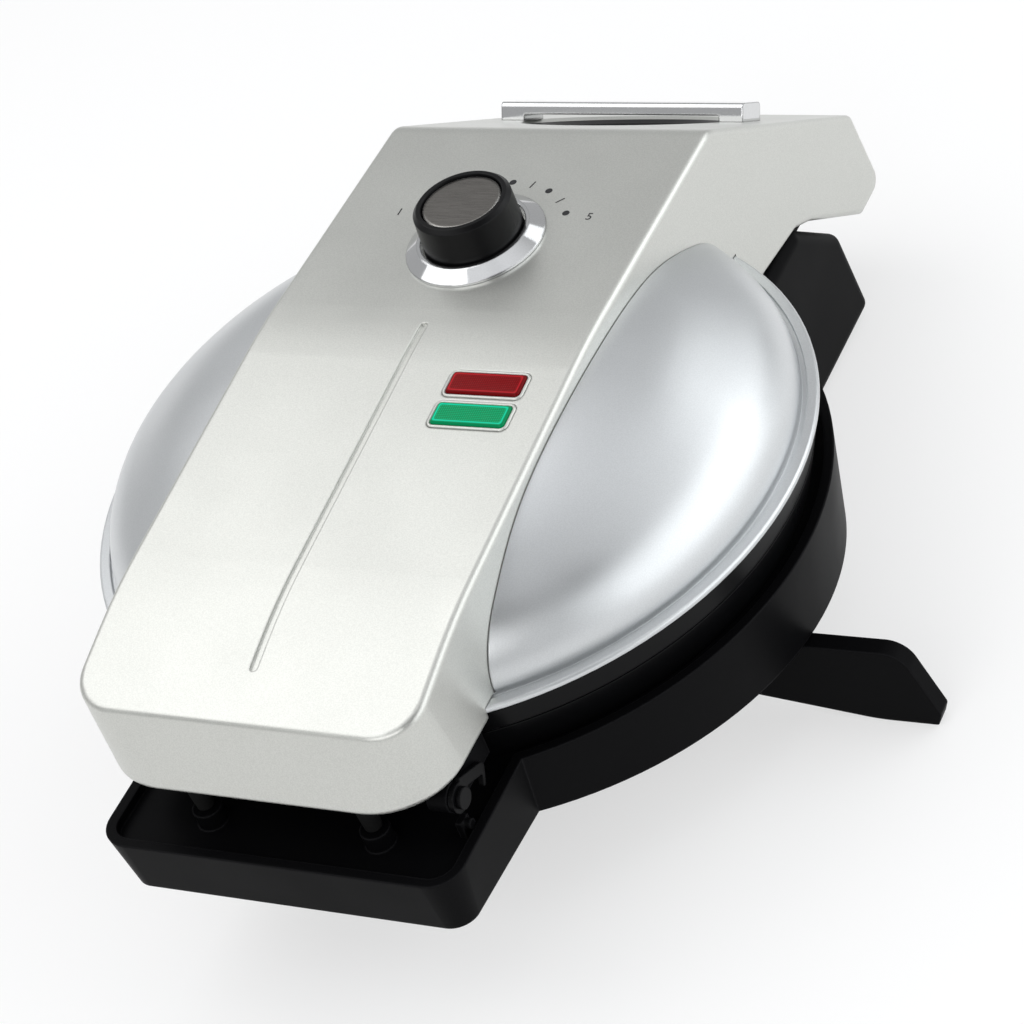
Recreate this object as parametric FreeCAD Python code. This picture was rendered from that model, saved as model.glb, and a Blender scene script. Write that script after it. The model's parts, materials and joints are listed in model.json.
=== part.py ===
# Donut maker: a hinged lid on a base, each with a heated mould plate.
# Sizes are millimetres. X runs to the right, Y to the rear hinge and Z up.
# While modelling, Y = 0 is the middle of the plates and Z = 0 is the seam
# between lid and base. Pieces move to the table frame when they are saved.
import FreeCAD, Part
import math
import os

Vec = FreeCAD.Vector
X_AXIS = Vec(1, 0, 0)
Y_AXIS = Vec(0, 1, 0)
Z_AXIS = Vec(0, 0, 1)
ORIGIN = Vec(0, 0, 0)

# Stance
SEAM_HEIGHT = 67.0
REAR_REACH = 186.8
PAD_THICK = 1.5

# Clearances
RUNNING_CLEARANCE = 0.05
FIT_CLEARANCE = 0.2
AIR_GAP = 0.4

# Round lid: dome steps are inset from the lid's edge and height over its flange
LID_RADIUS = 105.0
LID_WALL = 2.0
FLANGE_BOTTOM = 9.3
FLANGE_THICK = 1.6
FLANGE_WIDTH = 9.0
FLANGE_EDGE = 0.5
GROOVE_INSET = 3.2
GROOVE_WIDTH = 1.6
GROOVE_DEPTH = 0.9
DOME_STEPS = ((4.8, 0.0), (5.6, 6.0), (10.6, 14.6), (19.6, 21.6), (33.0, 29.2), (46.0, 33.0))
DOME_CROWN = 35.2
DOME_OVERLAP = 1.5

# Bridge: the silver cover across the lid, from the front handle to the hinge arm
BRIDGE_HALF = 52.4
BRIDGE_WALL = 2.5
BRIDGE_TOP = 50.4
BRIDGE_EDGE = 2.0
CROWN_ROUND = 200.0
BROW_ROUND = 150.0
SHOULDER_ROUND = 9.0
CROWN_Y = 7.0
BROW_Y = -88.0
BROW_Z = 40.8
NOSE_SLOPE = 15.0
HANDLE_LENGTH = 23.0
NOSE_LEAN = 11.7
NOSE_CORNER = 13.0
NOSE_CORNER_LOW = 22.0
NOSE_BOTTOM = 6.4
SHOULDER_Y = 98.5
ARM_TOP_INSET = 5.8
ARM_TOP_Z = -7.3
ARM_TIP_Z = -38.2
ARM_TIP_DEPTH = 16.0
ARM_TIP_ROUND = 5.0
ARM_HEEL_ROUND = 1.5
ARM_TOP_ROUND = 3.0
ARM_ROOT_ROUND = 6.0
ARM_ELBOW_ROUND = 5.0
ARM_ELBOW_INSET = 48.1
ARM_ELBOW_Z = -15.2
ARM_ROOT_INSET = 58.0
ARM_ROOT_Z = -10.2
ARM_SKIRT = (104.0, -7.1)
CENTRE_GROOVE_INSET = 20.0
CENTRE_GROOVE_REAR = 11.5
CENTRE_GROOVE_WIDTH = 2.4
CENTRE_GROOVE_DEPTH = 0.8

# Carry bar over a dished recess on the arm's slope
BAR_ALONG = 52.0
BAR_HALF = 41.0
BAR_DEPTH = 12.0
BAR_THICK = 3.8
BAR_RISE = 5.7
BAR_POST = 8.0
BAR_ROUND = 1.4
DISH_RADIUS = 34.0
DISH_DEPTH = 9.0

# Dial
DIAL_Y = 46.8
KNOB_RADIUS = 14.4
KNOB_TOP = 65.0
KNOB_WALL = 2.4
KNOB_ROOF = 4.5
KNOB_LIFT = 1.0
KNOB_FLARE = 0.4
KNOB_BEVEL = 1.2
KNOB_BOSS_WALL = 2.5
KNOB_BOSS_LIFT = 5.0
CAP_RADIUS = 11.4
CAP_RECESS = 0.7
CAP_THICK = 1.2
BEZEL_RADIUS = 20.6
BEZEL_BORE = 15.4
BEZEL_RISE = 3.4
BEZEL_LIP = 0.8
BEZEL_CROWN = 1.2
SHAFT_RADIUS = 3.0
SHAFT_GAP = 0.5
COLLAR_RADIUS = 5.0
COLLAR_SHOW = 0.5
COLLAR_SEAT = 3.0
COLLAR_SEAT_THICK = 1.0
NUT_RADIUS = 8.0
NUT_THICK = 2.5
THERMOSTAT_RADIUS = 16.0
THERMOSTAT_HEIGHT = 15.0
THERMOSTAT_FLOOR = 3.0
TAB_X = 7.0
TAB_Y = 10.0
TAB_WIDTH = 6.0
TAB_THICK = 1.0
TAB_LENGTH = 8.0
FUSE_Y = -20.0
FUSE_RADIUS = 2.2
FUSE_LENGTH = 16.0
FUSE_CLIP_WIDTH = 6.0
FUSE_CLIP_DEPTH = 8.0
FUSE_CLIP_THICK = 1.0

# Indicator lenses, on the long slope of the bridge
LENS_X = 28.8
RED_Y = -10.6
GREEN_Y = -21.7
LENS_WIDTH = 22.6
LENS_DEPTH = 7.7
LENS_CORNER = 1.2
LENS_RISE = 0.9
LENS_BEVEL = 0.5
LENS_FRAME = 1.2
LENS_FRAME_DEPTH = 0.6
LENS_FLANGE = 1.2
LENS_FLANGE_THICK = 1.2
LAMP_RADIUS = 2.5
LAMP_HEIGHT = 6.0
BOARD_THICK = 1.6
BOARD_MARGIN_X = 6.0
BOARD_MARGIN_Y = 4.0
POST_RADIUS = 2.0

# Rings that carry the mould plates; insets are measured from the lid's edge
RING_INSET = 3.3
RING_FLARE_INSET = 1.4
RING_FOOT_INSET = 7.5
LEDGE_WIDTH = 3.5
LEDGE_THICK = 2.5
RING_WALL = 3.0

# Mould plates: one mould in the middle of six, as large as the plate has room for
PLATE_INSET = 10.0
PLATE_MARGIN = 4.5
PLATE_THICK = 3.0
PLATE_GAP = 0.5
MOULD_COUNT = 6
MOULD_SPACING = 2.0
MOULD_TUBE = 10.0
MOULD_WALL = 2.5
SCREW_INSET = 12.0
SCREW_RADIUS = 2.0
SCREW_HEAD = 3.8
SCREW_HEAD_THICK = 1.8
LUG_WIDTH = 12.0

# Heaters and shields
HEATER_TUBE = 3.2
HEATER_SWEEP = 320.0
TERMINAL_RADIUS = 2.2
TERMINAL_LENGTH = 13.0
TERMINAL_ROOM = 1.5
HEATER_LIFT = 0.1
SHIELD_SHEET = 0.8
SHIELD_RIM_INSET = 1.0
SHIELD_TAPER = 7.5
SHIELD_HEIGHT = 22.4

# Tray
TRAY_LEDGE = 6.3
TRAY_INSET = 0.6
TRAY_CORNER = 9.0
TRAY_WALL = 2.5
TRAY_LIP = 3.0
TRAY_RIM = -10.1
TRAY_DECK = -13.1
TRAY_DRAFT = 7.0
TRAY_BOTTOM = -39.3
TRAY_TILT = 4.6
DECK_LIP = 2.5
BOSS_RADIUS = 3.6

# Front handle's under-cover, bumpers and latch
LINER_WALL = 2.0
LINER_SINK = 0.5
LINER_FLOOR = 2.5
LINER_TOP = 20.0
SKIRT_BOTTOM = -3.5
SKIRT_INSET = 14.0
BUMPER_X = 26.0
BUMPER_INSET = 9.0
BUMPER_RADIUS = 3.6
BUMPER_TIP = 2.4
BUMPER_SEAT = 5.4
BUMPER_SEAT_RADIUS = 4.2
BUMPER_GAP = 0.3
LATCH_INSET = 15.5
LATCH_Z = 0.6
LATCH_PIN_RADIUS = 2.0
LATCH_EYE = 4.2
LATCH_BOSS = 6.0
LATCH_THICK = 1.5
LATCH_ARM = 3.4
LATCH_REACH = 12.9
LATCH_REST = 65.0
KEEPER_RADIUS = 1.4
KEEPER_DROP = 9.8
KEEPER_POST = 2.0

# Hinge and rear stand
HINGE_INSET = 13.6
HINGE_Z = -26.2
HINGE_PIN_RADIUS = 3.0
HINGE_PIN_SINK = 0.5
EAR_RADIUS = 7.5
EAR_INNER = 24.0
EAR_THICK = 12.0
BRACKET_THICK = 5.6
BRACKET_RADIUS = 8.0
BRACKET_MARGIN = 4.0
BRACKET_HEIGHT = 22.0
STAND_HALF = 52.2
STAND_WALL = 3.0
STAND_EDGE = 4.0
STAND_FRONT = 70.0
STAND_TOP = -10.7
STAND_TOP_INSET = 58.0
STAND_WAIST_INSET = 32.9
STAND_WAIST_Z = -32.4
STAND_REAR_INSET = 26.6
STAND_COVER_THICK = 2.5
STAND_COVER_GAP = 1.0
TERMINAL_PITCH = 9.5
TERMINAL_BLOCK_DEPTH = 18.0
TERMINAL_BLOCK_GAP = 6.4
TERMINAL_BLOCK_HEIGHT = 15.0
TERMINAL_BLOCK_FLOOR = 6.0
TERMINAL_WELL = 2.6
CORD_BUSH_X = 26.0
CORD_BUSH_HEIGHT = 20.0
CORD_BORE = 3.75
CORD_BUSH_RADIUS = 6.5
CORD_BUSH_FLANGE = 8.5
CORD_BUSH_LENGTH = 14.0
CORD_BUSH_SHOW = 3.5
CORD_BUSH_FLANGE_THICK = 1.6

# Side feet
FOOT_REACH = 134.0
FOOT_FLANGE_LENGTH = 32.0
FOOT_ROOT_INSET = 12.4
FOOT_FRONT = -12.5
FOOT_THICK = 5.5
FOOT_ARCH = 8.0
FOOT_ARCH_ROUND = 60.0
FOOT_SHOULDER_INSET = 7.2
FOOT_SHOULDER_ROUND = 8.0
FOOT_TOE_HEIGHT = 4.0
FOOT_TOE_SLANT = 1.5
FOOT_TOE_ROUND = 2.0
FOOT_HEEL_ROUND = 1.0
FOOT_TOP = -40.3
FOOT_FLANGE_REAR = 8.0
FOOT_FLANGE_THICK = 2.0
FOOT_SCREW_Y = 1.0
FOOT_SCREW_INSET = 8.0
FOOT_SCREW_POINT = 3.0
FOOT_PAD_LENGTH = 14.0
FOOT_PAD_INSET = 4.0
FOOT_PAD_MARGIN = 1.0
FOOT_PAD_SHOW = 0.4
STAND_PAD_RADIUS = 8.0
STAND_PAD_X = 36.0
STAND_PAD_INSET = 14.0

FLANGE_TOP = FLANGE_BOTTOM + FLANGE_THICK
NOSE_REACH = LID_RADIUS + HANDLE_LENGTH
ARM_TOP_Y = REAR_REACH - ARM_TOP_INSET
ARM_ELBOW = (REAR_REACH - ARM_ELBOW_INSET, ARM_ELBOW_Z)
ARM_ROOT = (REAR_REACH - ARM_ROOT_INSET, ARM_ROOT_Z)
HINGE_Y = REAR_REACH - HINGE_INSET
STAND_TOP_REAR = REAR_REACH - STAND_TOP_INSET
STAND_WAIST = (REAR_REACH - STAND_WAIST_INSET, STAND_WAIST_Z)
STAND_REAR = REAR_REACH - STAND_REAR_INSET
FRONT_REACH = NOSE_REACH + TRAY_LEDGE
RING_RADIUS = LID_RADIUS - RING_INSET
RING_FLARE = LID_RADIUS - RING_FLARE_INSET
RING_FOOT = LID_RADIUS - RING_FOOT_INSET
PLATE_RADIUS = LID_RADIUS - PLATE_INSET
LEDGE_RADIUS = PLATE_RADIUS - LEDGE_WIDTH
SCREW_CIRCLE = PLATE_RADIUS - SCREW_INSET
SHIELD_TOP_RADIUS = LEDGE_RADIUS - SHIELD_TAPER
MOULD_CIRCLE = (2 * (PLATE_RADIUS - PLATE_MARGIN) + MOULD_SPACING) / 3
MOULD_RING = (MOULD_CIRCLE - MOULD_SPACING) / 2 - MOULD_TUBE - MOULD_WALL
HEATER_CIRCLE = MOULD_CIRCLE
TRAY_RADIUS = LID_RADIUS - TRAY_INSET
DECK_HOLE = PLATE_RADIUS - DECK_LIP
FOOT_ROOT = TRAY_RADIUS - FOOT_ROOT_INSET
FOOT_INNER = FOOT_ROOT - FOOT_FLANGE_LENGTH
FOOT_SHOULDER = FOOT_REACH - FOOT_SHOULDER_INSET
LATCH_FACE = BRIDGE_HALF - BRIDGE_WALL - FIT_CLEARANCE + AIR_GAP
TRAY_HALF = LATCH_FACE + LATCH_THICK + AIR_GAP + TRAY_LIP
TABLE = -SEAM_HEIGHT
UNDERSIDE = TABLE + PAD_THICK
LATCH_Y = -NOSE_REACH + LATCH_INSET
BUMPER_Y = -NOSE_REACH + BUMPER_INSET
LINER_BOTTOM = NOSE_BOTTOM + LINER_SINK
LINER_FLOOR_TOP = LINER_BOTTOM + LINER_FLOOR
FRAME_SHIFT = Vec(0, (FRONT_REACH - REAR_REACH) / 2, SEAM_HEIGHT)
FAR = 400.0


# Shape helpers
def rounded_wire(corners, radii):
    """Closed wire through the corners, each rounded by its own radius."""
    count = len(corners)
    starts = []
    middles = []
    ends = []
    for index, corner in enumerate(corners):
        back = (corners[index - 1] - corner).normalize()
        ahead = (corners[(index + 1) % count] - corner).normalize()
        radius = radii[index]
        half_angle = back.getAngle(ahead) / 2
        run = radius / math.tan(half_angle)
        inward = (back + ahead).normalize()
        starts.append(corner + back * run)
        ends.append(corner + ahead * run)
        middles.append(corner + inward * (radius / math.sin(half_angle) - radius))
    edges = []
    for index in range(count):
        following = (index + 1) % count
        if radii[index] > 0:
            edges.append(Part.Arc(starts[index], middles[index], ends[index]).toShape())
        edges.append(Part.LineSegment(ends[index], starts[following]).toShape())
    return Part.Wire(edges)


def prism_x(outline, x_low, x_high, radii=None):
    """Outline of (y, z) corners, drawn from x_low to x_high."""
    corners = [Vec(x_low, y, z) for y, z in outline]
    wire = rounded_wire(corners, radii or [0] * len(corners))
    return Part.Face(wire).extrude(Vec(x_high - x_low, 0, 0))


def prism_y(outline, y_low, y_high, radii=None):
    """Outline of (x, z) corners, drawn from y_low to y_high."""
    corners = [Vec(x, y_low, z) for x, z in outline]
    wire = rounded_wire(corners, radii or [0] * len(corners))
    return Part.Face(wire).extrude(Vec(0, y_high - y_low, 0))


def prism_z(outline, z_low, z_high, radii=None):
    """Outline of (x, y) corners, drawn from z_low to z_high."""
    corners = [Vec(x, y, z_low) for x, y in outline]
    wire = rounded_wire(corners, radii or [0] * len(corners))
    return Part.Face(wire).extrude(Vec(0, 0, z_high - z_low))


def turned(profile):
    """Solid of (radius, z) corners turned about the plates' axis."""
    corners = [Vec(radius, 0, z) for radius, z in profile]
    return Part.Face(Part.makePolygon(corners + corners[:1])).revolve(ORIGIN, Z_AXIS, 360)


def box(x_low, x_high, y_low, y_high, z_low, z_high):
    return Part.makeBox(x_high - x_low, y_high - y_low, z_high - z_low, Vec(x_low, y_low, z_low))


def upright(radius, x, y, z_low, z_high):
    return Part.makeCylinder(radius, z_high - z_low, Vec(x, y, z_low), Z_AXIS)


def crosswise(radius, x_low, x_high, y, z):
    return Part.makeCylinder(radius, x_high - x_low, Vec(x_low, y, z), X_AXIS)


def fused(pieces):
    return pieces[0].multiFuse(pieces[1:]).removeSplitter()


def mirrored(shape):
    """The same piece on the other side of the middle plane."""
    return shape.mirror(ORIGIN, X_AXIS)


def upside_down(shape):
    """The base's copy of a lid piece, mirrored in the seam."""
    return shape.mirror(ORIGIN, Z_AXIS)


def inset_outline(outline, distances):
    """Outline with each side moved inwards by its distance; corners run anticlockwise."""
    count = len(outline)
    moved = []
    for index in range(count):
        ay, az = outline[index]
        by, bz = outline[(index + 1) % count]
        length = math.hypot(by - ay, bz - az)
        normal = (-(bz - az) / length, (by - ay) / length)
        step = distances[index]
        moved.append((ay + normal[0] * step, az + normal[1] * step, by - ay, bz - az))
    corners = []
    for index in range(count):
        py, pz, dy, dz = moved[index - 1]
        qy, qz, ey, ez = moved[index]
        along = ((qy - py) * ez - (qz - pz) * ey) / (dy * ez - dz * ey)
        corners.append((py + dy * along, pz + dz * along))
    return corners


def polar(radius, degrees):
    angle = math.radians(degrees)
    return radius * math.cos(angle), radius * math.sin(angle)


def save(name, pieces):
    """Write one node, a single solid or a group of alike solids."""
    shape = Part.makeCompound(pieces) if isinstance(pieces, list) else pieces.copy()
    shape.translate(FRAME_SHIFT)
    shape.exportStep("parts/%s.step" % name)
    print(name, len(shape.Solids), shape.isValid(), round(shape.Volume))


# Bridge cover
LEAN = math.tan(math.radians(NOSE_LEAN))
CENTRE_GROOVE_FRONT = -NOSE_REACH + CENTRE_GROOVE_INSET
NOSE_TOP = BROW_Z - (NOSE_REACH + BROW_Y) * math.tan(math.radians(NOSE_SLOPE))
CORNER_TAPER = (NOSE_CORNER_LOW - NOSE_CORNER) / (NOSE_TOP - NOSE_BOTTOM)
NOSE_OVERRUN = 30.0
NOSE_FAR_Y = -NOSE_REACH - NOSE_OVERRUN
NOSE_FAR_Z = BROW_Z + (NOSE_FAR_Y - BROW_Y) * math.tan(math.radians(NOSE_SLOPE))
TIP_LEAN = math.atan2(REAR_REACH - ARM_TOP_Y, ARM_TOP_Z - ARM_TIP_Z)
TIP_CORNER_Y = REAR_REACH + ARM_TIP_ROUND * (math.tan(TIP_LEAN) + 1 / math.cos(TIP_LEAN) - 1)
BRIDGE_OUTLINE = (
    (NOSE_FAR_Y, NOSE_BOTTOM),
    (-ARM_SKIRT[0] + 20, NOSE_BOTTOM),
    ARM_SKIRT,
    ARM_ROOT,
    ARM_ELBOW,
    (REAR_REACH - ARM_TIP_DEPTH, ARM_TIP_Z),
    (TIP_CORNER_Y, ARM_TIP_Z),
    (ARM_TOP_Y, ARM_TOP_Z),
    (SHOULDER_Y, BRIDGE_TOP),
    (CROWN_Y, BRIDGE_TOP),
    (BROW_Y, BROW_Z),
    (NOSE_FAR_Y, NOSE_FAR_Z),
)
ARM_ROUNDS = (ARM_ROOT_ROUND, ARM_ELBOW_ROUND, ARM_HEEL_ROUND, ARM_TIP_ROUND, ARM_TOP_ROUND)
BRIDGE_ROUNDS = (0, 0, 0) + ARM_ROUNDS + (SHOULDER_ROUND, CROWN_ROUND, BROW_ROUND, 0)
OPEN_SIDE = -6.0
COLUMN_LOW = ARM_TIP_Z + OPEN_SIDE - 1
COLUMN_HIGH = BRIDGE_TOP + 1
INNER_TOP_ROUNDS = tuple(outer - BRIDGE_WALL for outer in (SHOULDER_ROUND, CROWN_ROUND, BROW_ROUND))
INNER_ROUNDS = (0,) * 8 + INNER_TOP_ROUNDS + (0,)

SLOPE_ANGLE = math.degrees(math.atan2(BRIDGE_TOP - ARM_TOP_Z, ARM_TOP_Y - SHOULDER_Y))
LONG_SLOPE = math.degrees(math.atan2(BRIDGE_TOP - BROW_Z, CROWN_Y - BROW_Y))


def nose_front(z):
    """Y of the nose's face at height z."""
    return -NOSE_REACH + (z - NOSE_BOTTOM) * LEAN


def nose_corner_waste(inset, depth):
    """What is cut off the right corner of the bridge, drawn inwards by inset, to leave a cone.

    The cone touches the nose's face and the side, and opens out towards the bottom.
    """
    lean = math.radians(NOSE_LEAN)
    down = Vec(0, -math.sin(lean), -math.cos(lean))
    from_side = Vec(-1, 0, 0)
    from_front = Vec(0, math.cos(lean), -math.sin(lean))
    touch_square = 1 / (1 + CORNER_TAPER ** 2)
    half_angle = math.asin(math.sqrt((1 - touch_square) / (2 - touch_square)))
    tilt = math.acos(math.cos(half_angle) * math.sqrt(touch_square))
    axis = down * math.cos(tilt) + (from_side + from_front).normalize() * math.sin(tilt)
    apex_z = NOSE_BOTTOM + NOSE_CORNER_LOW / CORNER_TAPER
    apex = Vec(BRIDGE_HALF, nose_front(apex_z), apex_z) + axis * (inset / math.sin(half_angle))
    foot = apex + down * depth
    spread = depth * CORNER_TAPER
    on_side = foot + from_front * spread
    on_front = foot + from_side * spread
    outside = foot - (from_side + from_front) * depth
    triangles = (
        (apex, on_side, on_front),
        (apex, on_side, outside),
        (apex, on_front, outside),
        (on_side, on_front, outside),
    )
    faces = [Part.Face(Part.makePolygon([*corners, corners[0]])) for corners in triangles]
    wedge = Part.makeSolid(Part.makeShell(faces))
    length = depth * 2
    return wedge.cut(Part.makeCone(0, length * math.tan(half_angle), length, apex, axis))


def bridge_column(inset, z_low, z_high):
    """Plan of the bridge drawn inwards by inset, from z_low to z_high, with a leaning front."""
    half = BRIDGE_HALF - inset
    front = nose_front(z_low) + inset / math.cos(math.radians(NOSE_LEAN))
    rear = REAR_REACH + FAR / 4
    corners = [(-half, front), (half, front), (half, rear), (-half, rear)]
    plan = Part.makePolygon([Vec(x, y, z_low) for x, y in corners + corners[:1]])
    rise = z_high - z_low
    column = Part.Face(plan).extrude(Vec(0, rise * LEAN, rise))
    waste = nose_corner_waste(inset, FAR / 2)
    return column.cut(waste).cut(mirrored(waste))


def face_direction(face):
    u_low, u_high, v_low, v_high = face.ParameterRange
    return face.normalAt((u_low + u_high) / 2, (v_low + v_high) / 2)


def faces_outward(face):
    """True for the bridge's sides and nose, false for its top, slope and back."""
    direction = face_direction(face)
    return abs(direction.x) > 0.5 or direction.y < -0.8


def rim_edges(block):
    """Edges where the top and the back of the bridge turn into its sides and nose."""
    chosen = []
    for edge in block.Edges:
        faces = block.ancestorsOfType(edge, Part.Face)
        outward = [face for face in faces if faces_outward(face)]
        upward = [face for face in faces if face_direction(face).z > 0.1 and face not in outward]
        if len(outward) == 1 and len(upward) == 1:
            chosen.append(edge)
    return chosen


def on_slope(shape):
    """Place a piece drawn flat, Y down the arm's slope and Z out of it."""
    placed = shape.copy()
    placed.rotate(ORIGIN, X_AXIS, -SLOPE_ANGLE)
    placed.translate(Vec(0, SHOULDER_Y, BRIDGE_TOP))
    return placed


def on_long_slope(shape):
    """Place a piece drawn flat at its own Y on the long front slope of the bridge."""
    placed = shape.copy()
    placed.translate(Vec(0, -CROWN_Y, 0))
    placed.rotate(ORIGIN, X_AXIS, LONG_SLOPE)
    placed.translate(Vec(0, CROWN_Y, BRIDGE_TOP))
    return placed


def dish(grow):
    """Ball that scoops the finger recess out of the slope."""
    ball_radius = (DISH_RADIUS ** 2 + DISH_DEPTH ** 2) / (2 * DISH_DEPTH)
    centre = Vec(0, BAR_ALONG, ball_radius - DISH_DEPTH)
    return on_slope(Part.makeSphere(ball_radius + grow, centre))


def lens_window(y, grow, z_low, z_high):
    half_width = LENS_WIDTH / 2 + grow
    half_depth = LENS_DEPTH / 2 + grow
    outline = (
        (LENS_X - half_width, y - half_depth),
        (LENS_X + half_width, y - half_depth),
        (LENS_X + half_width, y + half_depth),
        (LENS_X - half_width, y + half_depth),
    )
    return on_long_slope(prism_z(outline, z_low, z_high, [LENS_CORNER + grow] * 4))


def centre_groove():
    half = CENTRE_GROOVE_WIDTH / 2
    outline = (
        (-half, CENTRE_GROOVE_FRONT),
        (half, CENTRE_GROOVE_FRONT),
        (half, CENTRE_GROOVE_REAR),
        (-half, CENTRE_GROOVE_REAR),
    )
    column = prism_z(outline, 0, FAR, [half * 0.98] * 4)
    floor = list(BRIDGE_OUTLINE)
    insets = [0] * 7 + [CENTRE_GROOVE_DEPTH] * 4 + [0]
    body = prism_x(inset_outline(floor, insets), -half * 2, half * 2, [0] * 9 + [CROWN_ROUND, BROW_ROUND, 0])
    return column.cut(body)


LID_POST_X = 42.0
LID_POST_INSET = 6.6
LID_POST_CIRCLE = LID_RADIUS - LID_POST_INSET
LID_POST_RADIUS = 3.5
LID_SCREW_RADIUS = 1.5
LID_SCREW_HEAD = 2.5
LID_SCREW_HEAD_THICK = 1.2
LINER_SCREW_SEAT = 1.4
LID_SCREW_GRIP = 12.0
LID_SCREW_SEAT = 3.0
LINER_POST_X = 34.0
LINER_BACK = (BRIDGE_WALL + FIT_CLEARANCE + LINER_WALL) / math.cos(math.radians(NOSE_LEAN))
LINER_FRONT = nose_front(LINER_TOP) + LINER_BACK
LINER_POST_Y = (LINER_FRONT - math.sqrt(LID_RADIUS ** 2 - LINER_POST_X ** 2)) / 2
LID_POST_Y = math.sqrt(LID_POST_CIRCLE ** 2 - LID_POST_X ** 2)
LID_POSTS = [(x, y) for x in (-LID_POST_X, LID_POST_X) for y in (-LID_POST_Y, LID_POST_Y)]
LINER_POSTS = [(-LINER_POST_X, LINER_POST_Y), (LINER_POST_X, LINER_POST_Y)]


def bridge_inside(inset):
    """The hollow of the bridge, open below."""
    shift = inset - BRIDGE_WALL
    insets = [OPEN_SIDE] * 6 + [BRIDGE_WALL + shift] * 5 + [0]
    hollow = prism_x(inset_outline(BRIDGE_OUTLINE, insets), -FAR, FAR, INNER_ROUNDS)
    return hollow.common(bridge_column(inset, COLUMN_LOW, COLUMN_HIGH))


def bridge_cover():
    block = prism_x(BRIDGE_OUTLINE, -FAR, FAR, BRIDGE_ROUNDS)
    block = block.common(bridge_column(0, COLUMN_LOW, COLUMN_HIGH)).removeSplitter()
    block = block.makeFillet(BRIDGE_EDGE, rim_edges(block))
    hollow = bridge_inside(BRIDGE_WALL)
    shell = block.cut(hollow)
    pocket = dish(BRIDGE_WALL).common(block)
    posts = [upright(LID_POST_RADIUS, x, y, FLANGE_BOTTOM, BRIDGE_TOP).common(block) for x, y in LID_POSTS]
    for x, y in LINER_POSTS:
        posts.append(upright(LID_POST_RADIUS, x, y, LINER_FLOOR_TOP, BRIDGE_TOP).common(block))
    shell = fused([shell, pocket] + posts)
    room = upright(LID_RADIUS + FIT_CLEARANCE, 0, 0, -FAR, FLANGE_TOP + FIT_CLEARANCE)
    room = room.fuse(under_dome(LID_WALL + DOME_OVERLAP))
    room = room.cut(fused([upright(LID_POST_RADIUS, x, y, FLANGE_BOTTOM, FAR) for x, y in LID_POSTS]))
    cuts = [room, dish(0), centre_groove()]
    cuts.append(upright(COLLAR_RADIUS + FIT_CLEARANCE, 0, DIAL_Y, BRIDGE_TOP - 10, BRIDGE_TOP + 10))
    for y in (RED_Y, GREEN_Y):
        cuts.append(lens_window(y, FIT_CLEARANCE, -10, 10))
        cuts.append(lens_window(y, LENS_FRAME, -LENS_FRAME_DEPTH, 10))
    cuts += [upright(LID_SCREW_RADIUS, x, y, 0, FLANGE_BOTTOM + LID_SCREW_GRIP) for x, y in LID_POSTS]
    cuts += [upright(LID_SCREW_RADIUS, x, y, 0, LINER_FLOOR_TOP + LID_SCREW_GRIP) for x, y in LINER_POSTS]
    for cutter in cuts:
        shell = shell.cut(cutter)
    return shell


def screw(x, y, head_z, tip_z, radius=SCREW_RADIUS, head=SCREW_HEAD, thick=SCREW_HEAD_THICK):
    """Pan-head screw, with its head's outer face at head_z and its point at tip_z."""
    way = Z_AXIS if tip_z > head_z else -Z_AXIS
    body = Part.makeCylinder(radius - RUNNING_CLEARANCE, abs(tip_z - head_z), Vec(x, y, head_z), way)
    return body.fuse(Part.makeCylinder(head, thick, Vec(x, y, head_z), way)).removeSplitter()


def small_screw(x, y, head_z, tip_z):
    return screw(x, y, head_z, tip_z, LID_SCREW_RADIUS, LID_SCREW_HEAD, LID_SCREW_HEAD_THICK)


def lid_screws():
    head = LID_SCREW_SEAT - LID_SCREW_HEAD_THICK
    return [small_screw(x, y, head, FLANGE_BOTTOM + LID_SCREW_GRIP - 1) for x, y in LID_POSTS]


def liner_screws():
    head = LINER_BOTTOM + LINER_SCREW_SEAT - LID_SCREW_HEAD_THICK
    return [small_screw(x, y, head, LINER_FLOOR_TOP + LID_SCREW_GRIP - 1) for x, y in LINER_POSTS]


def carry_bar():
    low = BAR_ALONG - BAR_DEPTH / 2
    high = BAR_ALONG + BAR_DEPTH / 2
    bar = box(-BAR_HALF, BAR_HALF, low, high, BAR_RISE - BAR_THICK, BAR_RISE)
    posts = []
    for side in (-1, 1):
        inner = side * (BAR_HALF - BAR_POST)
        outer = side * BAR_HALF
        posts.append(box(min(inner, outer), max(inner, outer), low, high, 0, BAR_RISE))
    whole = fused([bar] + posts)
    top_edges = [edge for edge in whole.Edges if edge.BoundBox.ZMin > BAR_RISE - 0.1]
    long_edges = [edge for edge in top_edges if edge.BoundBox.XLength > BAR_HALF]
    return on_slope(whole.makeFillet(BAR_ROUND, long_edges))


# Round lid
def under_dome(sink):
    """Solid round body under the dome's surface, sunk below it by sink."""
    curve = dome_curve(sink)
    foot = curve.firstVertex().Point
    top = curve.lastVertex().Point
    axis_top = Vec(0, 0, top.z)
    axis_foot = Vec(0, 0, foot.z)
    sides = Part.makePolygon([top, axis_top, axis_foot, foot])
    outline = Part.Wire(Part.__sortEdges__([curve] + sides.Edges))
    return Part.Face(outline).revolve(ORIGIN, Z_AXIS, 360)


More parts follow.
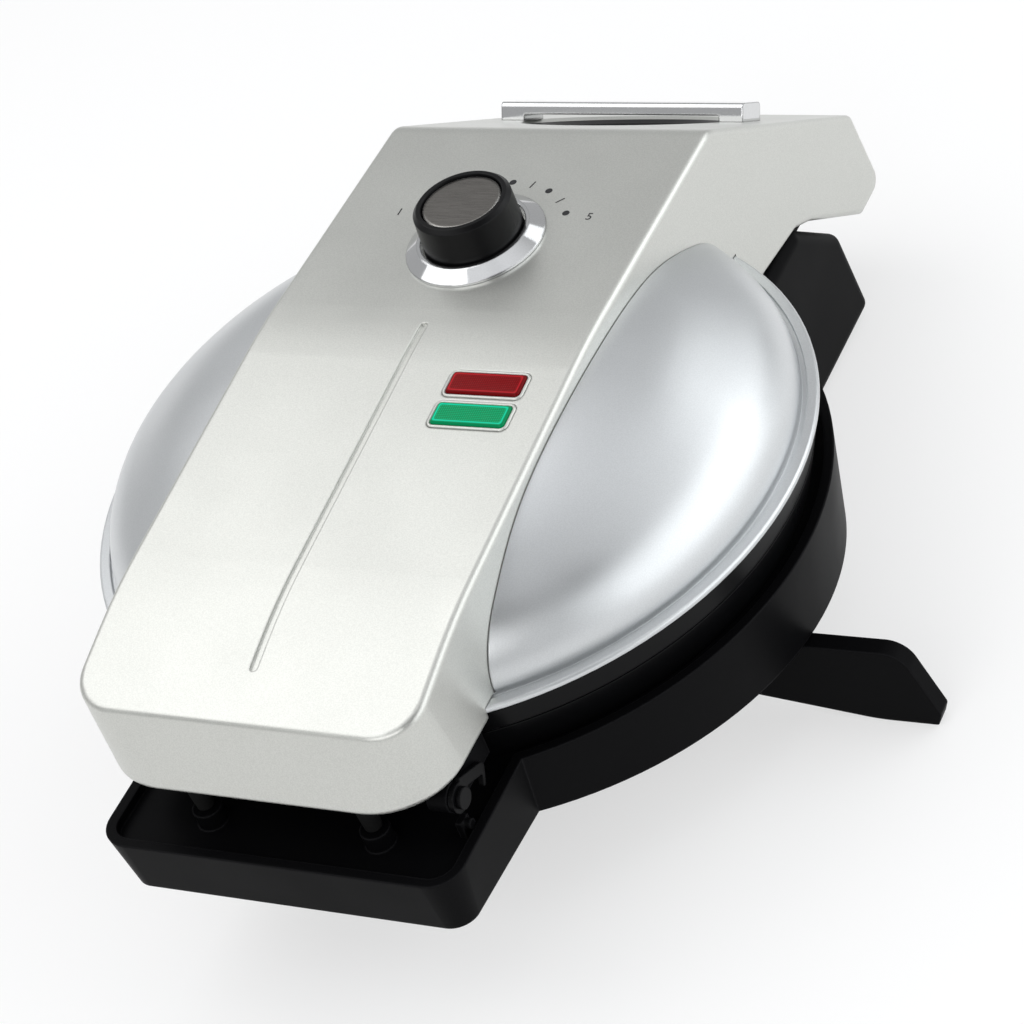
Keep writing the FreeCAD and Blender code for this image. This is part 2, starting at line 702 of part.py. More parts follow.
def dome_curve(sink):
    """Dome profile as (radius, z) points, sunk below the surface by sink."""
    points = [(LID_RADIUS - inset, FLANGE_TOP + rise) for inset, rise in DOME_STEPS]
    points.append((BRIDGE_HALF / 2, FLANGE_TOP + DOME_CROWN))
    sunk = []
    for index, (radius, z) in enumerate(points):
        before = points[max(index - 1, 0)]
        after = points[min(index + 1, len(points) - 1)]
        run = after[0] - before[0]
        rise = after[1] - before[1]
        length = math.hypot(run, rise)
        sunk.append(Vec(radius - rise / length * sink, 0, z + run / length * sink))
    curve = Part.BSplineCurve()
    curve.interpolate(sunk)
    return curve.toShape()


def lid_dome():
    outside = dome_curve(0)
    inside = dome_curve(LID_WALL)
    foot = Part.LineSegment(inside.firstVertex().Point, outside.firstVertex().Point).toShape()
    top = Part.LineSegment(outside.lastVertex().Point, inside.lastVertex().Point).toShape()
    shell = Part.Face(Part.Wire(Part.__sortEdges__([foot, outside, top, inside])))
    shell = shell.revolve(ORIGIN, Z_AXIS, 360)
    shell = shell.cut(upright(LID_RADIUS, 0, 0, -FAR, FLANGE_BOTTOM))
    flange_inner = LID_RADIUS - FLANGE_WIDTH
    groove_outer = LID_RADIUS - GROOVE_INSET
    groove_inner = groove_outer - GROOVE_WIDTH
    groove_floor = FLANGE_TOP - GROOVE_DEPTH
    flange = turned((
        (LID_RADIUS, FLANGE_BOTTOM),
        (LID_RADIUS, FLANGE_TOP - FLANGE_EDGE),
        (LID_RADIUS - FLANGE_EDGE, FLANGE_TOP),
        (groove_outer, FLANGE_TOP),
        (groove_outer, groove_floor),
        (groove_inner, groove_floor),
        (groove_inner, FLANGE_TOP),
        (flange_inner, FLANGE_TOP),
        (flange_inner, FLANGE_BOTTOM),
    ))
    room = box(-BRIDGE_HALF - FIT_CLEARANCE, BRIDGE_HALF + FIT_CLEARANCE, -FAR, FAR, FLANGE_TOP, FAR)
    dome = shell.fuse(flange).removeSplitter().cut(room)
    for x, y in LID_POSTS:
        dome = dome.cut(upright(LID_POST_RADIUS + FIT_CLEARANCE, x, y, 0, FAR))
    return dome


# Rings, plates, heaters and shields of the lid; the base has the same ones upside down
PLATE_BACK = PLATE_GAP + PLATE_THICK
LEDGE_TOP = PLATE_BACK + LEDGE_THICK
LUG_ANGLES = (30, 150, 270)
LUG_BOSS = 3.0


def plate_lugs():
    lugs = []
    for angle in LUG_ANGLES:
        half = LUG_WIDTH / 2
        arm = box(SCREW_CIRCLE - half, LEDGE_RADIUS + 1, -half, half, PLATE_BACK, LEDGE_TOP)
        boss = upright(SCREW_RADIUS + LUG_BOSS, SCREW_CIRCLE, 0, PLATE_BACK, LEDGE_TOP + LUG_BOSS)
        hole = upright(SCREW_RADIUS, SCREW_CIRCLE, 0, PLATE_BACK - 1, LEDGE_TOP + LUG_BOSS + 1)
        lug = arm.fuse(boss).cut(hole)
        lug.rotate(ORIGIN, Z_AXIS, angle)
        lugs.append(lug)
    return lugs


def upper_ring():
    ring = turned((
        (RING_RADIUS, AIR_GAP / 2),
        (RING_FLARE, FLANGE_BOTTOM),
        (PLATE_RADIUS + RING_WALL / 2, FLANGE_BOTTOM),
        (PLATE_RADIUS + RING_WALL / 2, LEDGE_TOP),
        (LEDGE_RADIUS, LEDGE_TOP),
        (LEDGE_RADIUS, PLATE_BACK),
        (PLATE_RADIUS + FIT_CLEARANCE, PLATE_BACK),
        (PLATE_RADIUS + FIT_CLEARANCE, AIR_GAP / 2),
    ))
    ring = fused([ring] + plate_lugs())
    for x, y in LID_POSTS:
        ring = ring.cut(upright(LID_SCREW_RADIUS, x, y, 0, FAR))
        ring = ring.cut(upright(LID_SCREW_HEAD + FIT_CLEARANCE, x, y, 0, LID_SCREW_SEAT))
    return ring


def lower_ring():
    inner = PLATE_RADIUS - RING_WALL / 6
    ring = turned((
        (RING_RADIUS, -AIR_GAP / 2),
        (RING_FOOT, TRAY_DECK),
        (inner, TRAY_DECK),
        (inner, -LEDGE_TOP),
        (LEDGE_RADIUS, -LEDGE_TOP),
        (LEDGE_RADIUS, -PLATE_BACK),
        (PLATE_RADIUS + FIT_CLEARANCE, -PLATE_BACK),
        (PLATE_RADIUS + FIT_CLEARANCE, -AIR_GAP / 2),
    ))
    return fused([ring] + [upside_down(lug) for lug in plate_lugs()])


def mould_centres():
    return [(0, 0)] + [polar(MOULD_CIRCLE, 360 / MOULD_COUNT * step) for step in range(MOULD_COUNT)]


def mould_plate():
    disc = upright(PLATE_RADIUS, 0, 0, PLATE_GAP, PLATE_BACK)
    above = box(-FAR, FAR, -FAR, FAR, PLATE_GAP, FAR)
    backs = []
    hollows = []
    for x, y in mould_centres():
        centre = Vec(x, y, PLATE_GAP)
        backs.append(Part.makeTorus(MOULD_RING, MOULD_TUBE + MOULD_WALL, centre, Z_AXIS).common(above))
        hollows.append(Part.makeTorus(MOULD_RING, MOULD_TUBE, centre, Z_AXIS))
    plate = fused([disc] + backs)
    for hollow in hollows:
        plate = plate.cut(hollow)
    for angle in LUG_ANGLES:
        x, y = polar(SCREW_CIRCLE, angle)
        plate = plate.cut(upright(SCREW_RADIUS, x, y, 0, PLATE_BACK + 1))
        plate = plate.cut(upright(SCREW_HEAD + FIT_CLEARANCE, x, y, 0, PLATE_GAP + SCREW_HEAD_THICK))
    return plate


def plate_screws():
    places = [polar(SCREW_CIRCLE, angle) for angle in LUG_ANGLES]
    return [screw(x, y, PLATE_GAP, LEDGE_TOP + LUG_BOSS) for x, y in places]


HEATER_Z = PLATE_GAP + MOULD_TUBE + MOULD_WALL + HEATER_TUBE + HEATER_LIFT
HEATER_GAP = (360 - HEATER_SWEEP) / 2


def heater_ends():
    return [polar(HEATER_CIRCLE, 90 + HEATER_GAP * side) for side in (-1, 1)]


def heater():
    circle = Part.Circle(Vec(HEATER_CIRCLE, 0, HEATER_Z), Y_AXIS, HEATER_TUBE)
    tube = Part.Face(Part.Wire(circle.toShape())).revolve(ORIGIN, Z_AXIS, HEATER_SWEEP)
    tube.rotate(ORIGIN, Z_AXIS, 90 + HEATER_GAP)
    pins = [upright(TERMINAL_RADIUS, x, y, HEATER_Z, HEATER_Z + TERMINAL_LENGTH) for x, y in heater_ends()]
    return fused([tube] + pins)


def heat_shield():
    sheet = SHIELD_SHEET
    outer = PLATE_RADIUS - SHIELD_RIM_INSET
    wall_foot = LEDGE_RADIUS
    shield = turned((
        (outer, LEDGE_TOP),
        (outer, LEDGE_TOP + sheet),
        (wall_foot, LEDGE_TOP + sheet),
        (SHIELD_TOP_RADIUS, SHIELD_HEIGHT + sheet),
        (0, SHIELD_HEIGHT + sheet),
        (0, SHIELD_HEIGHT),
        (SHIELD_TOP_RADIUS - sheet, SHIELD_HEIGHT),
        (wall_foot - sheet, LEDGE_TOP),
    ))
    for x, y in heater_ends():
        shield = shield.cut(upright(TERMINAL_RADIUS + TERMINAL_ROOM, x, y, 0, FAR))
    return shield


# Tray and base bottom
DRAFT = math.tan(math.radians(TRAY_DRAFT))
TRAY_DEPTH = 60.0


def tray_plan(inset, z):
    """Round tray with a straight-sided front handle, drawn inwards by inset."""
    radius = TRAY_RADIUS - inset
    half = TRAY_HALF - inset
    front = inset - FRONT_REACH
    corner = max(TRAY_CORNER - inset, 1.0)
    meet = -math.sqrt(radius ** 2 - half ** 2)
    slant = corner * (1 - math.sqrt(0.5))
    edges = [
        Part.Arc(Vec(half, meet, z), Vec(0, radius, z), Vec(-half, meet, z)).toShape(),
        Part.LineSegment(Vec(-half, meet, z), Vec(-half, front + corner, z)).toShape(),
        Part.Arc(
            Vec(-half, front + corner, z), Vec(-half + slant, front + slant, z), Vec(-half + corner, front, z)
        ).toShape(),
        Part.LineSegment(Vec(-half + corner, front, z), Vec(half - corner, front, z)).toShape(),
        Part.Arc(
            Vec(half - corner, front, z), Vec(half - slant, front + slant, z), Vec(half, front + corner, z)
        ).toShape(),
        Part.LineSegment(Vec(half, front + corner, z), Vec(half, meet, z)).toShape(),
    ]
    return Part.Wire(edges)


def above_bottom(lift):
    """Everything above the tray's tilted bottom plane, lifted by lift."""
    block = box(-FAR, FAR, -FAR, FAR, 0, FAR)
    block.rotate(ORIGIN, X_AXIS, -TRAY_TILT)
    block.translate(Vec(0, 0, TRAY_BOTTOM + lift))
    return block


def tray_block(inset, z_top, lift):
    """The tray's outer form from z_top down to its bottom plane, with drafted walls."""
    low = TRAY_RIM - TRAY_DEPTH
    top_inset = inset + (TRAY_RIM - z_top) * DRAFT
    low_inset = inset + TRAY_DEPTH * DRAFT
    block = Part.makeLoft([tray_plan(top_inset, z_top), tray_plan(low_inset, low)], True, True)
    return block.common(above_bottom(lift))


BASE_BOSS_INSET = 11.4
BASE_BOSS_CIRCLE = TRAY_RADIUS - BASE_BOSS_INSET
BASE_BOSSES = [polar(BASE_BOSS_CIRCLE, angle) for angle in (25, 155, 205, 335)]
BOTTOM_THICK = 2.8
BASE_HEAD = 3.2
BASE_HEAD_THICK = 1.2
BASE_SCREW_GRIP = 6.0
BASE_BORE_LEFT = 4.0


def base_tray():
    deck_under = TRAY_DECK - TRAY_WALL
    tray = tray_block(0, TRAY_RIM, 0)
    tray = tray.cut(tray_block(TRAY_WALL, deck_under, -5))
    recess = Part.makeLoft(
        [tray_plan(TRAY_LIP, TRAY_RIM + 1), tray_plan(TRAY_LIP, TRAY_DECK)], True, True
    )
    tray = tray.cut(recess).cut(upright(DECK_HOLE, 0, 0, -FAR, 0))
    inside = tray_block(TRAY_WALL / 2, TRAY_DECK, BOTTOM_THICK + FIT_CLEARANCE)
    bosses = [upright(BOSS_RADIUS, x, y, -FAR, TRAY_DECK).common(inside) for x, y in BASE_BOSSES]
    seat_top = TRAY_DECK + BUMPER_SEAT
    seats = [upright(BUMPER_SEAT_RADIUS, x, BUMPER_Y, deck_under, seat_top) for x in (-BUMPER_X, BUMPER_X)]
    tray = fused([tray] + bosses + seats)
    for x, y in BASE_BOSSES:
        tray = tray.cut(upright(SCREW_RADIUS, x, y, -FAR, deck_under - BASE_BORE_LEFT))
    return tray


def base_bottom():
    plate = tray_block(TRAY_WALL + FIT_CLEARANCE, TRAY_DECK - TRAY_WALL, 0).cut(above_bottom(BOTTOM_THICK))
    for x, y in BASE_BOSSES:
        plate = plate.cut(upright(SCREW_RADIUS, x, y, -FAR, 0))
        sunk = base_screw_head(y) + BASE_HEAD_THICK
        plate = plate.cut(upright(BASE_HEAD + FIT_CLEARANCE, x, y, -FAR, sunk))
    for x, y in FOOT_SCREWS:
        plate = plate.cut(upright(SCREW_RADIUS, x, y, -FAR, 0)).cut(upright(SCREW_RADIUS, -x, y, -FAR, 0))
    return plate


FOOT_SCREWS = [(x, FOOT_SCREW_Y) for x in (FOOT_INNER + FOOT_SCREW_INSET, FOOT_ROOT - FOOT_SCREW_INSET)]


def bottom_z(y):
    """Height of the tray's tilted bottom plane at y."""
    return TRAY_BOTTOM - y * math.tan(math.radians(TRAY_TILT))


def base_screw_head(y):
    """Height of a base screw's head, just sunk in the bottom plate."""
    return bottom_z(y - BASE_HEAD)


def base_screws():
    tip = TRAY_DECK - TRAY_WALL - BASE_SCREW_GRIP
    return [
        screw(x, y, base_screw_head(y), tip, SCREW_RADIUS, BASE_HEAD, BASE_HEAD_THICK)
        for x, y in BASE_BOSSES
    ]


# Front handle's under-cover, bumpers and latch
def handle_liner():
    fit = BRIDGE_WALL + FIT_CLEARANCE
    block = bridge_column(fit, SKIRT_BOTTOM, LINER_TOP)
    block = block.common(box(-FAR, FAR, -FAR, -LID_POST_Y + 14, SKIRT_BOTTOM, LINER_TOP))
    block = block.cut(bridge_column(fit + LINER_WALL, LINER_FLOOR_TOP, LINER_TOP + 1))
    block = block.cut(bridge_column(fit + LINER_WALL, SKIRT_BOTTOM - 1, LINER_BOTTOM))
    block = block.cut(box(-FAR, FAR, -FAR, -NOSE_REACH + SKIRT_INSET, SKIRT_BOTTOM - 1, LINER_BOTTOM))
    block = block.cut(upright(LID_RADIUS + AIR_GAP, 0, 0, SKIRT_BOTTOM - 1, LINER_TOP + 1))
    for x, y in LINER_POSTS:
        block = block.cut(upright(LID_SCREW_RADIUS, x, y, 0, LINER_FLOOR_TOP + 1))
        block = block.cut(upright(LID_SCREW_HEAD + FIT_CLEARANCE, x, y, 0, LINER_BOTTOM + LINER_SCREW_SEAT))
    outer = BRIDGE_HALF - fit
    boss = crosswise(LATCH_EYE, outer - LATCH_BOSS, outer, LATCH_Y, LATCH_Z)
    block = block.fuse(boss).removeSplitter()
    return block.cut(crosswise(LATCH_PIN_RADIUS, outer - LATCH_BOSS - 1, FAR, LATCH_Y, LATCH_Z))


def front_bumpers():
    """Tapered rubber pegs under the handle, just clear of their seats on the tray."""
    low = TRAY_DECK + BUMPER_SEAT + BUMPER_GAP
    pegs = []
    for side in (-1, 1):
        foot = Vec(side * BUMPER_X, BUMPER_Y, low)
        peg = Part.makeCone(BUMPER_TIP, BUMPER_RADIUS, LINER_BOTTOM - low, foot, Z_AXIS)
        tip = [edge for edge in peg.Edges if abs(edge.BoundBox.ZMax - low) < 0.01 and edge.Closed]
        pegs.append(peg.makeFillet(BUMPER_TIP / 3, tip))
    return pegs


def latch_pin():
    inner = LATCH_FACE - AIR_GAP - LINER_WALL
    outer = LATCH_FACE + LATCH_THICK + RUNNING_CLEARANCE * 2
    pin = crosswise(LATCH_PIN_RADIUS - RUNNING_CLEARANCE, inner, outer, LATCH_Y, LATCH_Z)
    head = crosswise(LATCH_PIN_RADIUS * 1.5, outer, outer + LATCH_PIN_RADIUS * 0.6, LATCH_Y, LATCH_Z)
    return pin.fuse(head).removeSplitter()


def latch_hook():
    """Lever with an eye and a hook, drawn hanging down and then swung to its open rest."""
    low = LATCH_FACE
    high = LATCH_FACE + LATCH_THICK
    near = KEEPER_RADIUS + AIR_GAP
    far = near + LATCH_ARM
    lip = LATCH_REACH - KEEPER_DROP - KEEPER_RADIUS - AIR_GAP
    outline = (
        (-near, -LATCH_REACH),
        (far, -LATCH_REACH),
        (far, 0),
        (near, 0),
        (near, -LATCH_REACH + lip),
        (-near, -LATCH_REACH + lip),
    )
    lever = prism_x(outline, low, high, (0.6, 2.0, 0, 0, 0.6, 0.6))
    lever = lever.fuse(crosswise(LATCH_EYE, low, high, 0, 0)).removeSplitter()
    lever = lever.cut(crosswise(LATCH_PIN_RADIUS, low - 1, high + 1, 0, 0))
    lever.rotate(ORIGIN, X_AXIS, LATCH_REST)
    lever.translate(Vec(0, LATCH_Y, LATCH_Z))
    return lever


def latch_keeper():
    inner = LATCH_FACE - AIR_GAP - LINER_WALL
    outer = LATCH_FACE - AIR_GAP
    z = LATCH_Z - KEEPER_DROP
    post = box(inner, outer, LATCH_Y - KEEPER_POST, LATCH_Y + KEEPER_POST, TRAY_DECK, z + KEEPER_RADIUS)
    return post.fuse(crosswise(KEEPER_RADIUS, inner, LATCH_FACE + LATCH_THICK, LATCH_Y, z)).removeSplitter()


# Hinge, stand and feet
EAR_OUTER = EAR_INNER + EAR_THICK
BRACKET_OUTER = BRIDGE_HALF - BRIDGE_WALL
BRACKET_INNER = BRACKET_OUTER - BRACKET_THICK
STAND_OUTLINE = (
    (STAND_FRONT, UNDERSIDE),
    (STAND_REAR, UNDERSIDE),
    STAND_WAIST,
    (STAND_TOP_REAR, STAND_TOP),
    (STAND_FRONT, STAND_TOP),
)


def hinge_ear(x_low, x_high):
    waist_y = STAND_WAIST[0] - STAND_WALL
    slope = (STAND_TOP - STAND_WAIST[1]) / (STAND_WAIST[0] - STAND_TOP_REAR)
    top = HINGE_Z + EAR_RADIUS
    low = HINGE_Z - EAR_RADIUS
    top_y = STAND_WAIST[0] - (top - STAND_WAIST[1]) / slope - STAND_WALL
    arm = prism_x(((waist_y, low), (HINGE_Y, low), (HINGE_Y, top), (top_y, top)), x_low, x_high)
    return arm.fuse(crosswise(EAR_RADIUS, x_low, x_high, HINGE_Y, HINGE_Z))


def bush_place():
    z = TABLE + CORD_BUSH_HEIGHT
    share = (z - UNDERSIDE) / (STAND_WAIST[1] - UNDERSIDE)
    return STAND_REAR + (STAND_WAIST[0] - STAND_REAR) * share, z


def stand_top_edges(block):
    """Edges of the stand's sides along its flat top."""
    level = [edge for edge in block.Edges if edge.BoundBox.ZMin > STAND_TOP - 0.1]
    return [edge for edge in level if edge.BoundBox.XLength < 0.1 and edge.BoundBox.YLength > 1]


def rear_stand():
    block = prism_x(STAND_OUTLINE, -STAND_HALF, STAND_HALF, (2, 3, 5, 5, 0))
    block = block.makeFillet(STAND_EDGE, stand_top_edges(block))
    block = block.cut(tray_block(-FIT_CLEARANCE, TRAY_RIM + 5, -FIT_CLEARANCE))
    insets = (-5, STAND_WALL, STAND_WALL, STAND_WALL, STAND_WALL)
    half = STAND_HALF - STAND_WALL
    hollow = prism_x(inset_outline(STAND_OUTLINE, insets), -half, half)
    hollow = hollow.cut(tray_block(-STAND_WALL - FIT_CLEARANCE, TRAY_RIM + 5, -STAND_WALL))
    ears = [hinge_ear(EAR_INNER, EAR_OUTER), hinge_ear(-EAR_OUTER, -EAR_INNER)]
    stand = fused([block.cut(hollow)] + ears)
    stand = stand.cut(crosswise(HINGE_PIN_RADIUS + RUNNING_CLEARANCE, -FAR, FAR, HINGE_Y, HINGE_Z))
    y, z = bush_place()
    hole_front = Vec(CORD_BUSH_X, y - CORD_BUSH_LENGTH, z)
    return stand.cut(Part.makeCylinder(CORD_BUSH_RADIUS, CORD_BUSH_LENGTH * 2, hole_front, Y_AXIS))


def stand_cover():
    half = STAND_HALF - STAND_WALL - FIT_CLEARANCE
    low = STAND_FRONT + STAND_WALL + FIT_CLEARANCE
    high = STAND_REAR - STAND_WALL - STAND_COVER_GAP
    return box(-half, half, low, high, UNDERSIDE, UNDERSIDE + STAND_COVER_THICK)


def terminal_block():
    low = UNDERSIDE + STAND_COVER_THICK
    top = low + TERMINAL_BLOCK_HEIGHT
    front = TRAY_RADIUS + TERMINAL_BLOCK_GAP
    half = TERMINAL_PITCH * 2
    block = box(-half, half, front, front + TERMINAL_BLOCK_DEPTH, low, top)
    y = front + TERMINAL_BLOCK_DEPTH / 2
    well_floor = low + TERMINAL_BLOCK_FLOOR
    for step in (-1.5, -0.5, 0.5, 1.5):
        block = block.cut(upright(TERMINAL_WELL, step * TERMINAL_PITCH, y, well_floor, top + 1))
    return block


def cord_bush():
    y, z = bush_place()
    rear = y + CORD_BUSH_SHOW
    front = rear - CORD_BUSH_LENGTH
    radius = CORD_BUSH_RADIUS - RUNNING_CLEARANCE
    body = Part.makeCylinder(radius, CORD_BUSH_LENGTH, Vec(CORD_BUSH_X, front, z), Y_AXIS)
    flange_front = Vec(CORD_BUSH_X, rear - CORD_BUSH_FLANGE_THICK, z)
    flange = Part.makeCylinder(CORD_BUSH_FLANGE, CORD_BUSH_FLANGE_THICK, flange_front, Y_AXIS)
    bore = Part.makeCylinder(CORD_BORE, CORD_BUSH_LENGTH + 2, Vec(CORD_BUSH_X, front - 1, z), Y_AXIS)
    return body.fuse(flange).removeSplitter().cut(bore)


def hinge_bracket():
    """Plate inside the arm, from the hinge pin up to the rear of the lid's flange."""
    front = LID_RADIUS + BRACKET_MARGIN
    outline = (
        (HINGE_Y - BRACKET_RADIUS / 2, HINGE_Z - BRACKET_RADIUS),
        (HINGE_Y + BRACKET_RADIUS, HINGE_Z - BRACKET_RADIUS),
        (HINGE_Y + BRACKET_RADIUS / 2, HINGE_Z + BRACKET_RADIUS),
        (front, FLANGE_BOTTOM + BRACKET_HEIGHT),
        (front, FLANGE_BOTTOM - BRACKET_MARGIN),
        (ARM_ELBOW[0], ARM_ELBOW[1] + BRACKET_MARGIN),
    )
    rounds = (BRACKET_RADIUS / 2, BRACKET_RADIUS, 0, 0, 0, 0)
    plate = prism_x(outline, BRACKET_INNER, BRACKET_OUTER, rounds)
    return plate.cut(crosswise(HINGE_PIN_RADIUS, BRACKET_INNER - 1, BRACKET_OUTER + 1, HINGE_Y, HINGE_Z))


def hinge_pin():
    half = BRACKET_OUTER - HINGE_PIN_SINK
    return crosswise(HINGE_PIN_RADIUS - RUNNING_CLEARANCE / 5, -half, half, HINGE_Y, HINGE_Z)


def side_foot():
    """Thin blade that stands out sideways, with a flange screwed under the base."""
    sole = TABLE + FOOT_PAD_SHOW
    over_bottom = FOOT_TOP + FOOT_THICK
    outline = (
        (FOOT_INNER, sole + FOOT_ARCH),
        (FOOT_REACH - FOOT_PAD_LENGTH - FOOT_PAD_INSET - FOOT_PAD_MARGIN, sole),
        (FOOT_REACH - FOOT_TOE_SLANT, sole),
        (FOOT_REACH, sole + FOOT_TOE_HEIGHT),
        (FOOT_SHOULDER, FOOT_TOP),
        (FOOT_ROOT, FOOT_TOP),
        (FOOT_ROOT, over_bottom),
        (FOOT_INNER, over_bottom),
    )
    rounds = (0, FOOT_ARCH_ROUND, FOOT_HEEL_ROUND, FOOT_TOE_ROUND, FOOT_SHOULDER_ROUND, 0, 0, 0)
    blade = prism_y(outline, FOOT_FRONT, FOOT_FRONT + FOOT_THICK, rounds)
    flange_low = FOOT_TOP - FOOT_FLANGE_THICK
    flange = box(FOOT_INNER, FOOT_ROOT, FOOT_FRONT, FOOT_FLANGE_REAR, flange_low, over_bottom)
    foot = fused([blade, flange]).cut(above_bottom(0)).cut(side_pad(FIT_CLEARANCE / 2))
    for x, y in FOOT_SCREWS:
        foot = foot.cut(upright(SCREW_RADIUS, x, y, -FAR, 0))
    return foot


def side_pad(grow):
    high = FOOT_REACH - FOOT_PAD_INSET
    low = high - FOOT_PAD_LENGTH
    y_low = FOOT_FRONT + FOOT_PAD_MARGIN
    y_high = FOOT_FRONT + FOOT_THICK - FOOT_PAD_MARGIN
    return box(low - grow, high + grow, y_low - grow, y_high + grow, TABLE - grow, TABLE + PAD_THICK)


def foot_screws():
    screws = []
    for x, y in FOOT_SCREWS:
        head = FOOT_TOP - FOOT_FLANGE_THICK - SCREW_HEAD_THICK
        screws.append(screw(x, y, head, bottom_z(y) + BOTTOM_THICK + FOOT_SCREW_POINT))
    return screws + [mirrored(piece) for piece in screws]


def foot_pads():
    pads = [side_pad(0), mirrored(side_pad(0))]
    y = STAND_REAR - STAND_PAD_INSET
    for x in (-STAND_PAD_X, STAND_PAD_X):
        pads.append(upright(STAND_PAD_RADIUS, x, y, TABLE, UNDERSIDE))
    return pads


# Dial, lamps and what they work
CEILING = BRIDGE_TOP - BRIDGE_WALL


def dial_bezel():
    low = BRIDGE_TOP
    bezel = turned((
        (BEZEL_BORE, low),
        (BEZEL_RADIUS, low),
        (BEZEL_RADIUS, low + BEZEL_LIP),
        (BEZEL_BORE + BEZEL_CROWN, low + BEZEL_RISE),
        (BEZEL_BORE, low + BEZEL_RISE),
    ))
    bezel.translate(Vec(0, DIAL_Y, 0))
    return bezel


KNOB_FOOT = BRIDGE_TOP + KNOB_LIFT
CAP_FLOOR = KNOB_TOP - CAP_RECESS - CAP_THICK


def knob():
    inner = KNOB_RADIUS - KNOB_WALL
    roof = KNOB_TOP - KNOB_ROOF
    rim = CAP_RADIUS + FIT_CLEARANCE
    body = turned((
        (inner, KNOB_FOOT),
        (KNOB_RADIUS + KNOB_FLARE, KNOB_FOOT),
        (KNOB_RADIUS, KNOB_TOP - KNOB_BEVEL),
        (KNOB_RADIUS - KNOB_BEVEL, KNOB_TOP),
        (rim + KNOB_FLARE, KNOB_TOP),
        (rim, CAP_FLOOR),
        (0, CAP_FLOOR),
        (0, roof),
        (inner, roof),
    ))
    boss = upright(SHAFT_RADIUS + KNOB_BOSS_WALL, 0, 0, KNOB_FOOT + KNOB_BOSS_LIFT, CAP_FLOOR)
    body = body.fuse(boss).removeSplitter()
    body = body.cut(upright(SHAFT_RADIUS, 0, 0, 0, SHAFT_TOP + RUNNING_CLEARANCE * 2))
    body.translate(Vec(0, DIAL_Y, 0))
    return body


SHAFT_TOP = KNOB_TOP - KNOB_ROOF - SHAFT_GAP
THERMOSTAT_TOP = CEILING - COLLAR_SEAT_THICK


def knob_cap():
    return upright(CAP_RADIUS, 0, DIAL_Y, CAP_FLOOR, CAP_FLOOR + CAP_THICK)


def thermostat_shaft():
    low = THERMOSTAT_TOP - THERMOSTAT_HEIGHT / 2
    return upright(SHAFT_RADIUS - RUNNING_CLEARANCE / 2, 0, DIAL_Y, low, SHAFT_TOP)


def thermostat():
    low = THERMOSTAT_TOP - THERMOSTAT_HEIGHT
    collar_top = BRIDGE_TOP + NUT_THICK + COLLAR_SHOW
    body = upright(THERMOSTAT_RADIUS, 0, DIAL_Y, low, THERMOSTAT_TOP)
    seat = upright(COLLAR_RADIUS + COLLAR_SEAT, 0, DIAL_Y, THERMOSTAT_TOP, CEILING)
    collar = upright(COLLAR_RADIUS, 0, DIAL_Y, THERMOSTAT_TOP, collar_top)
    half = TAB_WIDTH / 2
    tab_y = DIAL_Y + TAB_Y
    tabs = [
        box(x - half, x + half, tab_y, tab_y + TAB_THICK, low - TAB_LENGTH, low + TAB_THICK)
        for x in (-TAB_X, TAB_X)
    ]
    bore_radius = SHAFT_RADIUS + RUNNING_CLEARANCE / 2
    bore = upright(bore_radius, 0, DIAL_Y, low + THERMOSTAT_FLOOR, collar_top + 1)
    return fused([body, seat, collar] + tabs).cut(bore)


def thermostat_nut():
    corners = [polar(NUT_RADIUS, 60 * step) for step in range(6)]
    outline = [(x, y + DIAL_Y) for x, y in corners]
    nut = prism_z(outline, BRIDGE_TOP, BRIDGE_TOP + NUT_THICK)
    return nut.cut(upright(COLLAR_RADIUS, 0, DIAL_Y, 0, FAR))


def thermal_fuse():
    z = SHIELD_HEIGHT + SHIELD_SHEET
    half = FUSE_LENGTH / 2
    clip_x = FUSE_CLIP_WIDTH / 2
    clip_y = FUSE_CLIP_DEPTH / 2
    body = crosswise(FUSE_RADIUS, -half, half, FUSE_Y, z + FUSE_RADIUS)
    clip = box(-clip_x, clip_x, FUSE_Y - clip_y, FUSE_Y + clip_y, z, z + FUSE_CLIP_THICK)
    return body.fuse(clip).removeSplitter()


def lens(y):
    body = lens_window(y, 0, -BRIDGE_WALL - LENS_FLANGE_THICK, LENS_RISE)
    top = [face for face in body.Faces if face_direction(face).z > 0.9]
    body = body.makeChamfer(LENS_BEVEL, top[0].Edges)
    flange = lens_window(y, LENS_FLANGE, -BRIDGE_WALL - LENS_FLANGE_THICK, -BRIDGE_WALL)
    return body.fuse(flange).removeSplitter()


LENS_MIDDLE = (RED_Y + GREEN_Y) / 2
HOLDER_HALF_X = LENS_WIDTH / 2 + BOARD_MARGIN_X
HOLDER_HALF_Y = (RED_Y - GREEN_Y) / 2 + LENS_DEPTH / 2 + BOARD_MARGIN_Y
BOARD_TOP = -BRIDGE_WALL - LENS_FLANGE_THICK - LAMP_HEIGHT - AIR_GAP


def lamp_holder():
    left = LENS_X - HOLDER_HALF_X
    right = LENS_X + HOLDER_HALF_X
    front = LENS_MIDDLE - HOLDER_HALF_Y
    rear = LENS_MIDDLE + HOLDER_HALF_Y
    pieces = [box(left, right, front, rear, BOARD_TOP - BOARD_THICK, BOARD_TOP)]
    for x in (left + POST_RADIUS, right - POST_RADIUS):
        for y in (front + POST_RADIUS, rear - POST_RADIUS):
            pieces.append(upright(POST_RADIUS, x, y, BOARD_TOP, -BRIDGE_WALL))
    return on_long_slope(fused(pieces))


def indicator_lamps():
    lamps = []
    for y in (RED_Y, GREEN_Y):
        lamp = upright(LAMP_RADIUS, LENS_X, y, BOARD_TOP, BOARD_TOP + LAMP_HEIGHT)
        lamps.append(on_long_slope(lamp))
    return lamps


